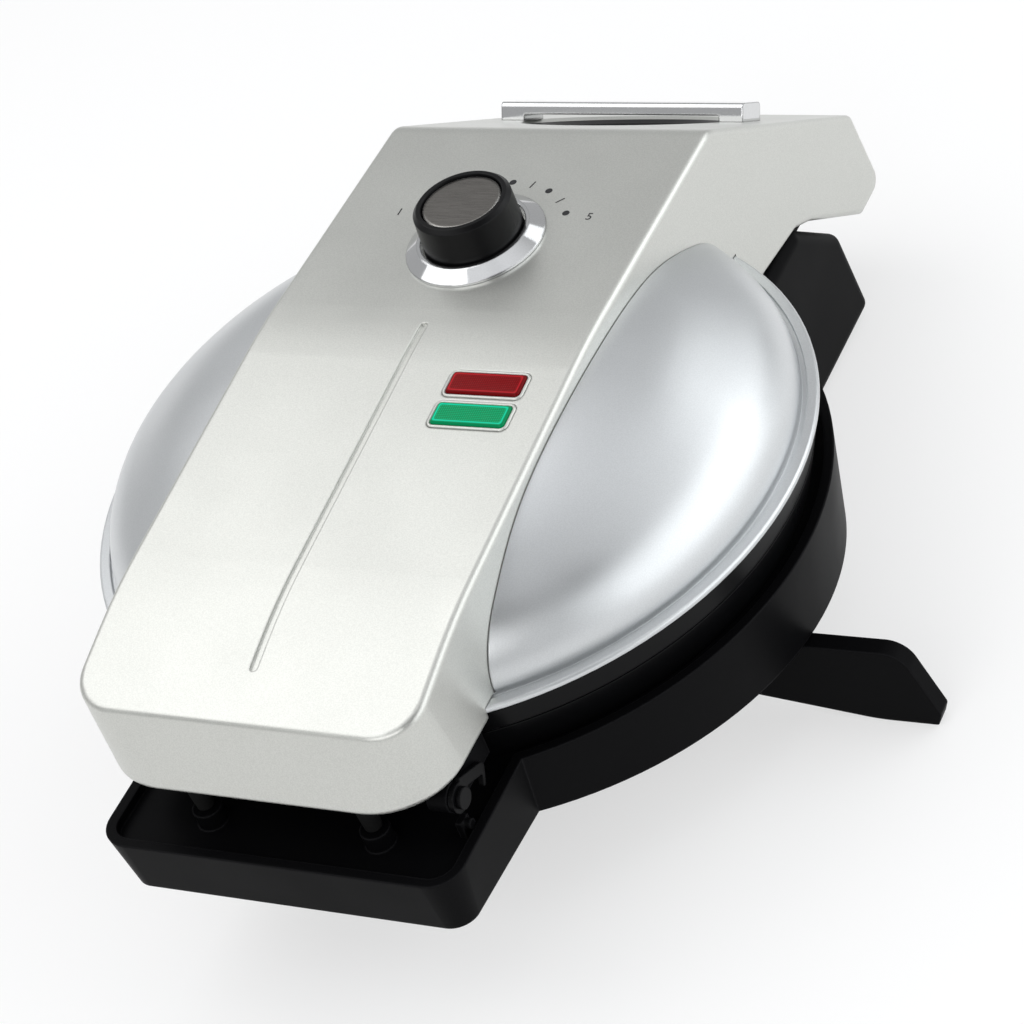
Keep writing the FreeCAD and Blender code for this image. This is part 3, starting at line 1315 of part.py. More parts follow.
def main():
    os.makedirs("parts", exist_ok=True)
    save("bridge_cover", bridge_cover())
    save("lid_dome", lid_dome())
    save("upper_ring", upper_ring())
    save("upper_plate", mould_plate())
    save("upper_heater", heater())
    save("upper_shield", heat_shield())
    save("upper_plate_screws", plate_screws())
    save("lid_screws", lid_screws())
    save("liner_screws", liner_screws())
    save("handle_liner", handle_liner())
    save("front_bumpers", front_bumpers())
    save("carry_bar", carry_bar())
    save("dial_bezel", dial_bezel())
    save("thermostat", thermostat())
    save("thermostat_nut", thermostat_nut())
    save("thermal_fuse", thermal_fuse())
    save("red_lens", lens(RED_Y))
    save("green_lens", lens(GREEN_Y))
    save("lamp_holder", lamp_holder())
    save("indicator_lamps", indicator_lamps())
    save("hinge_bracket_right", hinge_bracket())
    save("hinge_bracket_left", mirrored(hinge_bracket()))
    save("hinge_pin", hinge_pin())
    save("latch_pin", latch_pin())
    save("latch_hook", latch_hook())
    save("knob", knob())
    save("knob_cap", knob_cap())
    save("thermostat_shaft", thermostat_shaft())
    save("base_tray", base_tray())
    save("base_bottom", base_bottom())
    save("lower_ring", lower_ring())
    save("lower_plate", upside_down(mould_plate()))
    save("lower_heater", upside_down(heater()))
    save("lower_shield", upside_down(heat_shield()))
    save("lower_plate_screws", [upside_down(piece) for piece in plate_screws()])
    save("base_screws", base_screws())
    save("latch_keeper", latch_keeper())
    save("rear_stand", rear_stand())
    save("stand_cover", stand_cover())
    save("terminal_block", terminal_block())
    save("cord_bush", cord_bush())
    save("right_foot", side_foot())
    save("left_foot", mirrored(side_foot()))
    save("foot_screws", foot_screws())
    save("foot_pads", foot_pads())


main()
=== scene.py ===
import json
import math

import bmesh
import bpy
from mathutils import Matrix, Vector


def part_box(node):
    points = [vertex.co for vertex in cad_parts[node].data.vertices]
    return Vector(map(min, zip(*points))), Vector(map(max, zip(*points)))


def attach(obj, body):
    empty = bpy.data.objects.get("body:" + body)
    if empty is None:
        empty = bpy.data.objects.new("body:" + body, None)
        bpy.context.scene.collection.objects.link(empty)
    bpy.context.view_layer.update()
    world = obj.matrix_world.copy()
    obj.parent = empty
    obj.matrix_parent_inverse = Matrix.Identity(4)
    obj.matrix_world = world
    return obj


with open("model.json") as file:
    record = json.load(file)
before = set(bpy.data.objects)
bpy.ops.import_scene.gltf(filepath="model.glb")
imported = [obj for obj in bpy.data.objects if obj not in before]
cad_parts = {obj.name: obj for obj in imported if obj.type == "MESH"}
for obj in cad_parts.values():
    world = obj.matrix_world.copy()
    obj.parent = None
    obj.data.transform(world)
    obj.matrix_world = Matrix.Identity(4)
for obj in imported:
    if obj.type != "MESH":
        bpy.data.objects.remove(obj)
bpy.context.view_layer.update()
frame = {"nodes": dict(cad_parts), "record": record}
nodes = frame["nodes"]
scene = bpy.context.scene
MM = 0.001
QUARTER_TURN = 90


# Places on the sloping faces of the bridge
FACING_UP = 0.7
NEAR = 0.05 * MM
LENS_RISE = 0.9 * MM


def slope_seat(name, depth=None):
    """Frame of a piece on a slope, at its foot or depth below its top, and the half sizes there."""
    piece = nodes[name]
    spin = piece.matrix_world.to_3x3()
    upward = [face for face in piece.data.polygons if (spin @ face.normal).z > FACING_UP]
    rise = (spin @ max(upward, key=lambda face: face.area).normal).normalized()
    across = Vector((1, 0, 0))
    along = rise.cross(across)
    points = [piece.matrix_world @ vertex.co for vertex in piece.data.vertices]
    heights = [point.dot(rise) for point in points]
    base = min(heights) if depth is None else max(heights) - depth
    shown = [point for point, height in zip(points, heights) if height > base - NEAR]
    middle = base * rise
    halves = []
    for axis in (across, along):
        reach = [point.dot(axis) for point in shown]
        middle += axis * (min(reach) + max(reach)) / 2
        halves.append((max(reach) - min(reach)) / 2)
    place = Matrix((across, along, rise)).transposed().to_4x4()
    place.translation = middle
    return place, halves


# Node tree helpers, with the places of the colour sockets on a mix node
MIX_SHARE = 0
MIX_FIRST = 6
MIX_SECOND = 7
MIX_RESULT = 2


def add(tree, kind, **settings):
    """New shader node with its settings."""
    node = tree.nodes.new("ShaderNode" + kind)
    for name, value in settings.items():
        setattr(node, name, value)
    return node


def feed(tree, socket, source):
    """Give a socket a number, a colour or another node's output."""
    if isinstance(source, bpy.types.NodeSocket):
        tree.links.new(source, socket)
    else:
        socket.default_value = source


def calc(tree, operation, first, second=None, third=None):
    """Output of one step of arithmetic."""
    node = add(tree, "Math", operation=operation)
    for socket, value in zip(node.inputs, (first, second, third)):
        if value is not None:
            feed(tree, socket, value)
    return node.outputs[0]


def remap(tree, value, low, high, new_low=0.0, new_high=1.0):
    """Value between low and high spread smoothly over new_low to new_high, held at the ends."""
    node = add(tree, "MapRange", interpolation_type="SMOOTHSTEP")
    for socket, number in zip(node.inputs, (value, low, high, new_low, new_high)):
        feed(tree, socket, number)
    return node.outputs[0]


def mixed(tree, share, first, second):
    """Colour between first and second."""
    node = add(tree, "Mix", data_type="RGBA")
    feed(tree, node.inputs[MIX_SHARE], share)
    feed(tree, node.inputs[MIX_FIRST], first)
    feed(tree, node.inputs[MIX_SECOND], second)
    return node.outputs[MIX_RESULT]


def new_group(name, inputs, outputs):
    """Empty node group with named sockets."""
    tree = bpy.data.node_groups.new(name, "ShaderNodeTree")
    for socket_name, kind, value in inputs:
        socket = tree.interface.new_socket(socket_name, in_out="INPUT", socket_type="NodeSocket" + kind)
        if value is not None:
            socket.default_value = value
    for socket_name, kind in outputs:
        tree.interface.new_socket(socket_name, in_out="OUTPUT", socket_type="NodeSocket" + kind)
    return tree, tree.nodes.new("NodeGroupInput"), tree.nodes.new("NodeGroupOutput")


# Surface effects shared by the materials
EDGE_RADIUS = 0.6 * MM
EDGE_SAMPLES = 6
FLAT_FACING = 0.995
EDGE_FACING = 0.86
NOISE_DETAIL = 2.0
GRAIN_SCALE = 2500.0
GRAIN_HEIGHT = 0.02 * MM
GRAIN_STRENGTH = 0.5
GRAIN_RANGE = (0.3, 0.7)
PATCH_SCALE = 30.0
PATCH_RANGE = (0.2, 0.8)


def soft_edge_group():
    """Rounds every edge in the shading and marks where the edges are."""
    tree, entry, leave = new_group(
        "soft edges", [("Radius", "Float", EDGE_RADIUS)], [("Normal", "Vector"), ("Edge", "Float")]
    )
    round_normal = add(tree, "Bevel", samples=EDGE_SAMPLES)
    feed(tree, round_normal.inputs["Radius"], entry.outputs["Radius"])
    flat = add(tree, "NewGeometry")
    facing = add(tree, "VectorMath", operation="DOT_PRODUCT")
    feed(tree, facing.inputs[0], round_normal.outputs[0])
    feed(tree, facing.inputs[1], flat.outputs["Normal"])
    feed(tree, leave.inputs["Normal"], round_normal.outputs[0])
    feed(tree, leave.inputs["Edge"], remap(tree, facing.outputs["Value"], FLAT_FACING, EDGE_FACING))
    return tree


def surface_noise(tree, scale):
    """Noise that is fixed to the piece it lies on."""
    place = add(tree, "TexCoord")
    noise = add(tree, "TexNoise")
    feed(tree, noise.inputs["Vector"], place.outputs["Object"])
    feed(tree, noise.inputs["Scale"], scale)
    noise.inputs["Detail"].default_value = NOISE_DETAIL
    return noise.outputs["Fac"]


def grain_group():
    """Fine moulded or sprayed grain: a bumped normal and a shade from 0 to 1."""
    tree, entry, leave = new_group(
        "fine grain",
        [("Scale", "Float", GRAIN_SCALE), ("Height", "Float", GRAIN_HEIGHT), ("Normal", "Vector", None)],
        [("Normal", "Vector"), ("Shade", "Float")],
    )
    grain = surface_noise(tree, entry.outputs["Scale"])
    bump = add(tree, "Bump")
    bump.inputs["Strength"].default_value = GRAIN_STRENGTH
    feed(tree, bump.inputs["Distance"], entry.outputs["Height"])
    feed(tree, bump.inputs["Height"], grain)
    feed(tree, bump.inputs["Normal"], entry.outputs["Normal"])
    feed(tree, leave.inputs["Normal"], bump.outputs[0])
    feed(tree, leave.inputs["Shade"], remap(tree, grain, *GRAIN_RANGE))
    return tree


def smudge_group():
    """Broad faint patches where hands and cloths have been, from 0 to 1."""
    tree, entry, leave = new_group(
        "handling marks", [("Scale", "Float", PATCH_SCALE)], [("Patch", "Float")]
    )
    patches = surface_noise(tree, entry.outputs["Scale"])
    feed(tree, leave.inputs["Patch"], remap(tree, patches, *PATCH_RANGE))
    return tree


SOFT_EDGES = soft_edge_group()
FINE_GRAIN = grain_group()
HANDLING = smudge_group()


def use(tree, group, **values):
    """Place a shared effect in a material."""
    node = add(tree, "Group", node_tree=group)
    for name, value in values.items():
        feed(tree, node.inputs[name.capitalize()], value)
    return node.outputs


def blank(name):
    """New material with only its shader and output."""
    material = bpy.data.materials.new(name)
    material.use_nodes = True
    return material, material.node_tree, material.node_tree.nodes["Principled BSDF"]


def toned(colour, share, lift=0.0):
    """Opaque colour made lighter or darker."""
    return (*[min(1, part * share + lift) for part in colour], 1)


# Paints, plastics and plain metals
EDGE_LIFT = 0.01
ROUGH_CHANGE = 0.03


def finish(
    name, colour, rough, metal=0.0, edge=EDGE_RADIUS, edge_tint=1.25, worn_and_painted_light_edges=0.3, grain=GRAIN_SCALE,
    height=GRAIN_HEIGHT, mottle=0.06, specular=0.5, coat=0.0, coat_rough=0.1,
):
    """Solid finish with rounded edges of another tone, fine grain and uneven sheen. Lighter edges are wear
    with a painted highlight; darker edges, as on chrome, are painted shade.
    """
    material, tree, shader = blank(name)
    edges = use(tree, SOFT_EDGES, radius=edge)
    grained = use(tree, FINE_GRAIN, scale=grain, height=height, normal=edges["Normal"])
    marks = use(tree, HANDLING, scale=PATCH_SCALE)
    body = mixed(tree, grained["Shade"], toned(colour, 1 - mottle), toned(colour, 1 + mottle))
    # Edges in another tone: where lighter, wear with a painted highlight; where darker, a painted dark
    # reflection and shade.
    share = calc(tree, "MULTIPLY", edges["Edge"], worn_and_painted_light_edges)
    worn_and_painted_light_colour = toned(colour, edge_tint, EDGE_LIFT)
    feed(tree, shader.inputs["Base Color"], mixed(tree, share, body, worn_and_painted_light_colour))
    sheen = remap(tree, marks["Patch"], 0, 1, rough - ROUGH_CHANGE, rough + ROUGH_CHANGE)
    feed(tree, shader.inputs["Roughness"], sheen)
    shader.inputs["Metallic"].default_value = metal
    shader.inputs["Specular IOR Level"].default_value = specular
    shader.inputs["Coat Weight"].default_value = coat
    shader.inputs["Coat Roughness"].default_value = coat_rough
    feed(tree, shader.inputs["Normal"], grained["Normal"])
    return material


# Indicator lenses
LENS_BORDER = 0.5 * MM
LENS_LINE = 0.4 * MM
LINE_BLUR = 0.5 * MM
LINE_ROUND = 1.2 * MM
LENS_EDGE = 0.5 * MM
LENS_RIBS = 500.0
LENS_GRAIN_SCALE = 600.0
LENS_GRAIN_HEIGHT = 0.01 * MM
LENS_SPECULAR = 0.08
LENS_ROUGH = (0.08, 0.16)


def lens_finish(name, node_name, deep, bright, painted_lit_line_colour, glow):
    """Clear coloured plastic: a ribbed field inside a painted line of light and a dark border, all giving off
    a faint painted glow.
    """
    material, tree, shader = blank(name)
    edges = use(tree, SOFT_EDGES, radius=LENS_EDGE)
    grained = use(
        tree, FINE_GRAIN, scale=LENS_GRAIN_SCALE, height=LENS_GRAIN_HEIGHT, normal=edges["Normal"]
    )
    seat, halves = slope_seat(node_name, LENS_RISE)
    seat = nodes[node_name].matrix_world.inverted() @ seat
    place = add(tree, "TexCoord")
    level = add(tree, "Mapping", vector_type="TEXTURE")
    level.inputs["Location"].default_value = seat.translation
    level.inputs["Rotation"].default_value = seat.to_euler()
    feed(tree, level.inputs["Vector"], place.outputs["Object"])
    axes = add(tree, "SeparateXYZ")
    feed(tree, axes.inputs[0], level.outputs[0])
    gaps = []
    for axis, half in zip("XY", halves):
        gaps.append(calc(tree, "SUBTRACT", half, calc(tree, "ABSOLUTE", axes.outputs[axis])))
    inward = calc(tree, "SMOOTH_MIN", *gaps, LINE_ROUND)
    field = remap(tree, inward, LENS_BORDER, LENS_BORDER + LINE_BLUR)
    past_line = remap(tree, inward, LENS_BORDER + LENS_LINE, LENS_BORDER + LENS_LINE + LINE_BLUR)
    waves = []
    for direction_name in "XY":
        wave = add(tree, "TexWave", bands_direction=direction_name)
        feed(tree, wave.inputs["Vector"], level.outputs[0])
        wave.inputs["Scale"].default_value = LENS_RIBS
        wave.inputs["Distortion"].default_value = 0.0
        waves.append(wave.outputs["Fac"])
    body = mixed(tree, calc(tree, "MULTIPLY", *waves), (*deep, 1), (*bright, 1))
    # Painted light: a bright line inside the border stands for light in the lens's clear edge.
    body = mixed(tree, past_line, (*painted_lit_line_colour, 1), body)
    body = mixed(tree, field, (*deep, 1), body)
    feed(tree, shader.inputs["Base Color"], body)
    # Painted glow: the lens gives off its own colours, standing in for light passing through the clear
    # plastic.
    feed(tree, shader.inputs["Emission Color"], body)
    shader.inputs["Emission Strength"].default_value = glow
    shader.inputs["Specular IOR Level"].default_value = LENS_SPECULAR
    feed(tree, shader.inputs["Roughness"], remap(tree, grained["Shade"], 0, 1, *LENS_ROUGH))
    feed(tree, shader.inputs["Normal"], grained["Normal"])
    return material


# Brushed cap of the knob
BRUSH_STRETCH = (120.0, 5200.0, 5200.0)
BRUSH_DETAIL = 3.0
BRUSH_STRENGTH = 0.25
BRUSH_HEIGHT = 0.02 * MM
BRUSH_DARK = 0.86
BRUSH_LIGHT = 1.12
BRUSH_RANGE = (0.3, 0.7)
BRUSH_ROUGH_CHANGE = 0.06
CAP_EDGE = 1.4 * MM
CAP_PAINTED_HIGHLIGHT = (0.7, 0.69, 0.67, 1)
CAP_PAINTED_HIGHLIGHT_SHARE = 0.7


def brushed_finish(name, colour, rough):
    """Metal with fine straight brushing along X, and a painted highlight in a pale colour along its rounded
    edges.
    """
    material, tree, shader = blank(name)
    edges = use(tree, SOFT_EDGES, radius=CAP_EDGE)
    place = add(tree, "TexCoord")
    stretch = add(tree, "Mapping")
    stretch.inputs["Scale"].default_value = BRUSH_STRETCH
    feed(tree, stretch.inputs["Vector"], place.outputs["Object"])
    lines = add(tree, "TexNoise")
    feed(tree, lines.inputs["Vector"], stretch.outputs[0])
    lines.inputs["Scale"].default_value = 1.0
    lines.inputs["Detail"].default_value = BRUSH_DETAIL
    bump = add(tree, "Bump")
    bump.inputs["Strength"].default_value = BRUSH_STRENGTH
    bump.inputs["Distance"].default_value = BRUSH_HEIGHT
    feed(tree, bump.inputs["Height"], lines.outputs["Fac"])
    feed(tree, bump.inputs["Normal"], edges["Normal"])
    body = mixed(tree, lines.outputs["Fac"], toned(colour, BRUSH_DARK), toned(colour, BRUSH_LIGHT))
    # Painted highlight: the rounded edges of the cap are mixed toward a pale colour.
    painted_highlight = calc(tree, "MULTIPLY", edges["Edge"], CAP_PAINTED_HIGHLIGHT_SHARE)
    feed(tree, shader.inputs["Base Color"], mixed(tree, painted_highlight, body, CAP_PAINTED_HIGHLIGHT))
    smoothest = rough - BRUSH_ROUGH_CHANGE
    roughest = rough + BRUSH_ROUGH_CHANGE
    sheen = remap(tree, lines.outputs["Fac"], *BRUSH_RANGE, smoothest, roughest)
    feed(tree, shader.inputs["Roughness"], sheen)
    shader.inputs["Metallic"].default_value = 1.0
    feed(tree, shader.inputs["Normal"], bump.outputs[0])
    return material


# Glass of the indicator lamps
GLASS_EDGE = 0.4 * MM
GLASS_PATCH_SCALE = 80.0
GLASS_CLOUDED = (0.9, 0.86, 0.8, 1)
GLASS_CLEAN = (0.96, 0.94, 0.9, 1)
GLASS_ROUGH = (0.02, 0.1)
GLASS_CLEARNESS = 0.9


def glass_finish(name):
    """Clear glass with faint handling marks."""
    material, tree, shader = blank(name)
    marks = use(tree, HANDLING, scale=GLASS_PATCH_SCALE)
    edges = use(tree, SOFT_EDGES, radius=GLASS_EDGE)
    feed(tree, shader.inputs["Base Color"], mixed(tree, marks["Patch"], GLASS_CLOUDED, GLASS_CLEAN))
    feed(tree, shader.inputs["Roughness"], remap(tree, marks["Patch"], 0, 1, *GLASS_ROUGH))
    shader.inputs["Transmission Weight"].default_value = GLASS_CLEARNESS
    feed(tree, shader.inputs["Normal"], edges["Normal"])
    return material


# Finishes by material slot
SILVER = (0.57, 0.575, 0.545)
DOME_SILVER = (0.605, 0.62, 0.63)
BODY_BLACK = (0.003, 0.003, 0.0034)
CHROME = (0.68, 0.685, 0.69)
CAP_STEEL = (0.2, 0.19, 0.178)
NON_STICK = (0.018, 0.018, 0.02)
HEATER_STEEL = (0.3, 0.29, 0.27)
BRIGHT_SHEET = (0.75, 0.76, 0.77)
ZINC_STEEL = (0.55, 0.55, 0.56)
PALE_MOULDING = (0.75, 0.73, 0.68)
RUBBER_BLACK = (0.006, 0.006, 0.006)
PRINT_BLACK = (0.02, 0.02, 0.022)
FINISHES = {
    # Painted highlight on the silver and dome edges: they are lightened by the default edge_tint of 1.25.
    "silver_paint": finish(
        "silver paint", SILVER, rough=0.34, metal=0.75, edge=0.7 * MM, worn_and_painted_light_edges=0.5, grain=2600.0, specular=0.4,
        coat=0.15, coat_rough=0.3,
    ),
    "satin_dome": finish(
        "satin dome paint", DOME_SILVER, rough=0.37, metal=0.85, worn_and_painted_light_edges=0.5, grain=3000.0, height=0.012 * MM,
        mottle=0.04, coat=0.2, coat_rough=0.25,
    ),
    # Black edges lightened three to four times over: partly wear, partly a painted highlight.
    "gloss_black": finish(
        "half gloss black", BODY_BLACK, rough=0.3, edge_tint=3.0, grain=1800.0, specular=0.06
    ),
    "black_body": finish(
        "black body plastic", BODY_BLACK, rough=0.42, edge=0.9 * MM, edge_tint=4.0, worn_and_painted_light_edges=0.5, specular=0.03
    ),
    "knob_black": finish(
        "knob black", BODY_BLACK, rough=0.36, edge=0.5 * MM, edge_tint=4.0, specular=0.15
    ),
    # Painted shade: the chrome's edges are darkened to a quarter of its colour, a painted dark line round the
    # bezel's foot.
    "chrome": finish(
        "polished chrome", CHROME, rough=0.06, metal=1.0, edge=0.8 * MM, edge_tint=0.25, worn_and_painted_light_edges=0.8,
        height=0.004 * MM, mottle=0.02,
    ),
    "brushed_cap": brushed_finish("brushed cap", CAP_STEEL, rough=0.3),
    "mould_coat": finish(
        "non-stick coat", NON_STICK, rough=0.42, metal=0.2, edge_tint=3.0, grain=1400.0
    ),
    "heater_steel": finish("heater tube", HEATER_STEEL, rough=0.5, metal=1.0),
    "bright_sheet": finish("bright sheet", BRIGHT_SHEET, rough=0.3, metal=1.0),
    "screw_steel": finish("zinc steel", ZINC_STEEL, rough=0.32, metal=1.0, edge=0.3 * MM),
    "white_ceramic": finish("pale moulding", PALE_MOULDING, rough=0.6),
    "red_lens": lens_finish(
        "red lens", "red_lens", deep=(0.13, 0.001, 0.002), bright=(0.26, 0.003, 0.006),
        painted_lit_line_colour=(0.4, 0.01, 0.016), glow=0.1,
    ),
    "green_lens": lens_finish(
        "green lens", "green_lens", deep=(0.0, 0.17, 0.06), bright=(0.0, 0.36, 0.14),
        painted_lit_line_colour=(0.0, 0.5, 0.29), glow=0.3,
    ),
    "lamp_glass": glass_finish("lamp glass"),
    "black_rubber": finish(
        "black rubber", RUBBER_BLACK, rough=0.75, edge_tint=2.0, grain=1500.0, specular=0.1
    ),
}
PRINT_SLOT = "knob_black"
PRINT = finish("printed marks", PRINT_BLACK, rough=0.5, edge=0.1 * MM, worn_and_painted_light_edges=0.0, specular=0.3)

for entry in frame["record"]["subparts"]:
    node = nodes[entry["node"]]
    node.data.materials.clear()
    node.data.materials.append(FINISHES[entry["material_slot"]])


def mesh_piece(name, build, slot, body, material=None):
    """Added mesh that rides on a body, with the finish of a slot or one of its own."""
    mesh = bpy.data.meshes.new(name)
    shape = bmesh.new()
    build(shape)
    shape.to_mesh(mesh)
    shape.free()
    piece = bpy.data.objects.new(name, mesh)
    scene.collection.objects.link(piece)
    mesh.materials.append(material or FINISHES[slot])
    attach(piece, body)


# Printed scale round the dial
BEZEL_LOW, BEZEL_HIGH = (Vector(corner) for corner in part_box("dial_bezel"))
DIAL = (BEZEL_LOW + BEZEL_HIGH) / 2
COVER_TOP = BEZEL_LOW.z
PRINT_THICK = 0.05 * MM
MARK_RADIUS = 26.4 * MM
DOT_ANGLES = (-60, -30, 0, 30, 60)
DOT_RADIUS = 1.1 * MM
DOT_SIDES = 24
TICK_ANGLES = (-45, -15, 15, 45)
TICK_LONG = 2.9 * MM
TICK_WIDE = 0.4 * MM
LABEL_RADIUS = 33.0 * MM
LABEL_ANGLE = 69
LABEL_SIZE = 4.2 * MM


def print_place(radius, degrees):
    """Middle of a printed mark on the cover's top, at an angle from the rear, turning to the right."""
    turn = math.radians(degrees)
    x = DIAL.x + radius * math.sin(turn)
    y = DIAL.y + radius * math.cos(turn)
    return Vector((x, y, COVER_TOP + PRINT_THICK / 2))


def scale_marks(shape):
    """Dots with a tick between each two."""
    for degrees in DOT_ANGLES:
        place = Matrix.Translation(print_place(MARK_RADIUS, degrees))
        bmesh.ops.create_cone(
            shape, cap_ends=True, segments=DOT_SIDES, radius1=DOT_RADIUS, radius2=DOT_RADIUS,
            depth=PRINT_THICK, matrix=place,
        )
    for degrees in TICK_ANGLES:
        place = Matrix.Translation(print_place(MARK_RADIUS, degrees))
        turn = Matrix.Rotation(-math.radians(degrees), 4, "Z")
        size = Matrix.Diagonal((TICK_WIDE, TICK_LONG, PRINT_THICK, 1))
        bmesh.ops.create_cube(shape, size=1, matrix=place @ turn @ size)


def dial_number(text, degrees):
    """Printed number at one end of the scale."""
    words = bpy.data.curves.new("dial_number_" + text, "FONT")
    words.body = text
    words.size = LABEL_SIZE
    words.align_x = "CENTER"
    words.align_y = "CENTER"
    words.extrude = PRINT_THICK / 2
    words.materials.append(PRINT)
    number = bpy.data.objects.new("dial_number_" + text, words)
    number.location = print_place(LABEL_RADIUS, degrees)
    scene.collection.objects.link(number)
    bpy.context.view_layer.update()
    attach(number, "lid")


mesh_piece("dial_scale", scale_marks, PRINT_SLOT, "lid", PRINT)
dial_number("1", -LABEL_ANGLE)
dial_number("5", LABEL_ANGLE)


# Surrounds of the lenses, with their section in mm as steps out from the lens and up from the cover
LENS_CORNER = 1.2 * MM
SURROUND_SECTION = [(0.15, -0.5), (0.15, 0.2), (0.35, 0.4), (0.8, 0.4), (1.05, 0.1), (1.05, -0.5)]
CORNER_STEPS = 8
CORNER_SIDES = ((1, 1), (-1, 1), (-1, -1), (1, -1))


def round_corners(half_across, half_along, corner, grow):
    """Points of a rectangle with round corners, grown outward."""
    points = []
    for quarter, (side_x, side_y) in enumerate(CORNER_SIDES):
        for step in range(CORNER_STEPS + 1):
            turn = math.radians(QUARTER_TURN * (quarter + step / CORNER_STEPS))
            x = side_x * (half_across - corner) + (corner + grow) * math.cos(turn)
            y = side_y * (half_along - corner) + (corner + grow) * math.sin(turn)
            points.append((x, y))
    return points


def lens_surround(name):
    """Raised ring that fills the step between a lens and the cover."""
    place, halves = slope_seat(name, LENS_RISE)

    def build(shape):
        loops = []
        for grow, lift in SURROUND_SECTION:
            outline = round_corners(*halves, LENS_CORNER, grow * MM)
            loops.append([shape.verts.new(place @ Vector((x, y, lift * MM))) for x, y in outline])
        for inner, outer in zip(loops, loops[1:] + loops[:1]):
            for index in range(len(inner)):
                following = (index + 1) % len(inner)
                shape.faces.new((inner[index], inner[following], outer[following], outer[index]))
        bmesh.ops.recalc_face_normals(shape, faces=shape.faces)

    return build


# Painted shade in the finger recess: a thin dark dish that stands for the carry bar's shadow
RECESS_RADIUS = 34.0 * MM
RECESS_DEPTH = 9.0 * MM
SHADE_DISH_RADIUS = 31.5 * MM
SHADE_DISH_GAP = 0.05 * MM
SHADE_DISH_TOP = 0.4 * MM
SHADE_DISH_RINGS = 12
SHADE_DISH_STEPS = 72


def shade_dish_rings(shape, place, lift):
    """Rings of points on the recess's ball, lifted off its surface, from the middle outward."""
    ball = (RECESS_RADIUS ** 2 + RECESS_DEPTH ** 2) / (2 * RECESS_DEPTH)
    rings = [[shape.verts.new(place @ Vector((0, 0, lift - RECESS_DEPTH)))]]
    for ring in range(1, SHADE_DISH_RINGS + 1):
        radius = SHADE_DISH_RADIUS * ring / SHADE_DISH_RINGS
        height = ball - RECESS_DEPTH - math.sqrt(ball ** 2 - radius ** 2) + lift
        turns = [math.tau * step / SHADE_DISH_STEPS for step in range(SHADE_DISH_STEPS)]
        rings.append([
            shape.verts.new(place @ Vector((radius * math.cos(turn), radius * math.sin(turn), height)))
            for turn in turns
        ])
    return rings


def recess_painted_shade(shape):
    """Painted shade: a thin dark dish pressed into the finger recess under the carry bar, standing for the
    bar's shadow.
    """
    place = slope_seat("carry_bar")[0]
    layers = [shade_dish_rings(shape, place, lift) for lift in (SHADE_DISH_GAP, SHADE_DISH_TOP)]
    for rings in layers:
        for inner, outer in zip(rings, rings[1:]):
            for step in range(SHADE_DISH_STEPS):
                following = (step + 1) % SHADE_DISH_STEPS
                if len(inner) == 1:
                    shape.faces.new((inner[0], outer[step], outer[following]))
                else:
                    shape.faces.new((inner[step], outer[step], outer[following], inner[following]))
    below, above = (rings[-1] for rings in layers)
    for step in range(SHADE_DISH_STEPS):
        following = (step + 1) % SHADE_DISH_STEPS
        shape.faces.new((below[step], below[following], above[following], above[step]))
    bmesh.ops.recalc_face_normals(shape, faces=shape.faces)
    for face in shape.faces:
        face.smooth = True


mesh_piece("red_lens_surround", lens_surround("red_lens"), "silver_paint", "lid")
mesh_piece("green_lens_surround", lens_surround("green_lens"), "silver_paint", "lid")
# Painted shade under the carry bar: a dark dish in the finger recess.
mesh_piece("finger_recess_painted_shade", recess_painted_shade, "gloss_black", "lid")


# Floor
FLOOR_REACH = 8.0
FLOOR_WHITE = 0.6
FLOOR_COLOUR = (0.95, 0.95, 0.95, 1)
FLOOR_ROUGH = 0.9
FLOOR_SPECULAR = 0.1


def floor_finish():
    """Pale floor whose shadows stay light where the camera or a reflection sees it."""
    material, tree, shader = blank("floor white")
    shader.inputs["Base Color"].default_value = FLOOR_COLOUR
    shader.inputs["Roughness"].default_value = FLOOR_ROUGH
    shader.inputs["Specular IOR Level"].default_value = FLOOR_SPECULAR
    path = add(tree, "LightPath")
    seen = calc(tree, "MAXIMUM", path.outputs["Is Camera Ray"], path.outputs["Is Glossy Ray"])
    seen = calc(tree, "MAXIMUM", seen, path.outputs["Is Transmission Ray"])
    white = add(tree, "Emission")
    blend = add(tree, "MixShader")
    feed(tree, blend.inputs[0], calc(tree, "MULTIPLY", seen, FLOOR_WHITE))
    feed(tree, blend.inputs[1], shader.outputs[0])
    feed(tree, blend.inputs[2], white.outputs[0])
    feed(tree, tree.nodes["Material Output"].inputs["Surface"], blend.outputs[0])
    return material


def floor_plane():
    """Flat square under the part."""
    mesh = bpy.data.meshes.new("floor")
    corners = [(-1, -1), (1, -1), (1, 1), (-1, 1)]
    mesh.from_pydata([(x * FLOOR_REACH, y * FLOOR_REACH, 0) for x, y in corners], [], [(0, 1, 2, 3)])
    plane = bpy.data.objects.new("floor", mesh)
    mesh.materials.append(floor_finish())
    scene.collection.objects.link(plane)


# Light
PLAIN_WHITE = (1, 1, 1)
COOL_WHITE = (0.96, 0.985, 1.0)
PART_MIDDLE = (0, 0, 0.08)
FRONT_LEFT = (-0.1, -0.1, 0.0)
ROOM_GREY = (0.48, 0.485, 0.49, 1)
CEILING_WHITE = (0.93, 0.94, 0.96, 1)
CEILING_START = 0.6
DARK_CORNER = (0.02, 0.02, 0.022, 1)
DARK_AZIMUTH = 53
DARK_ELEVATION = 47
DARK_CORE = math.radians(17)
DARK_REACH = math.radians(34)


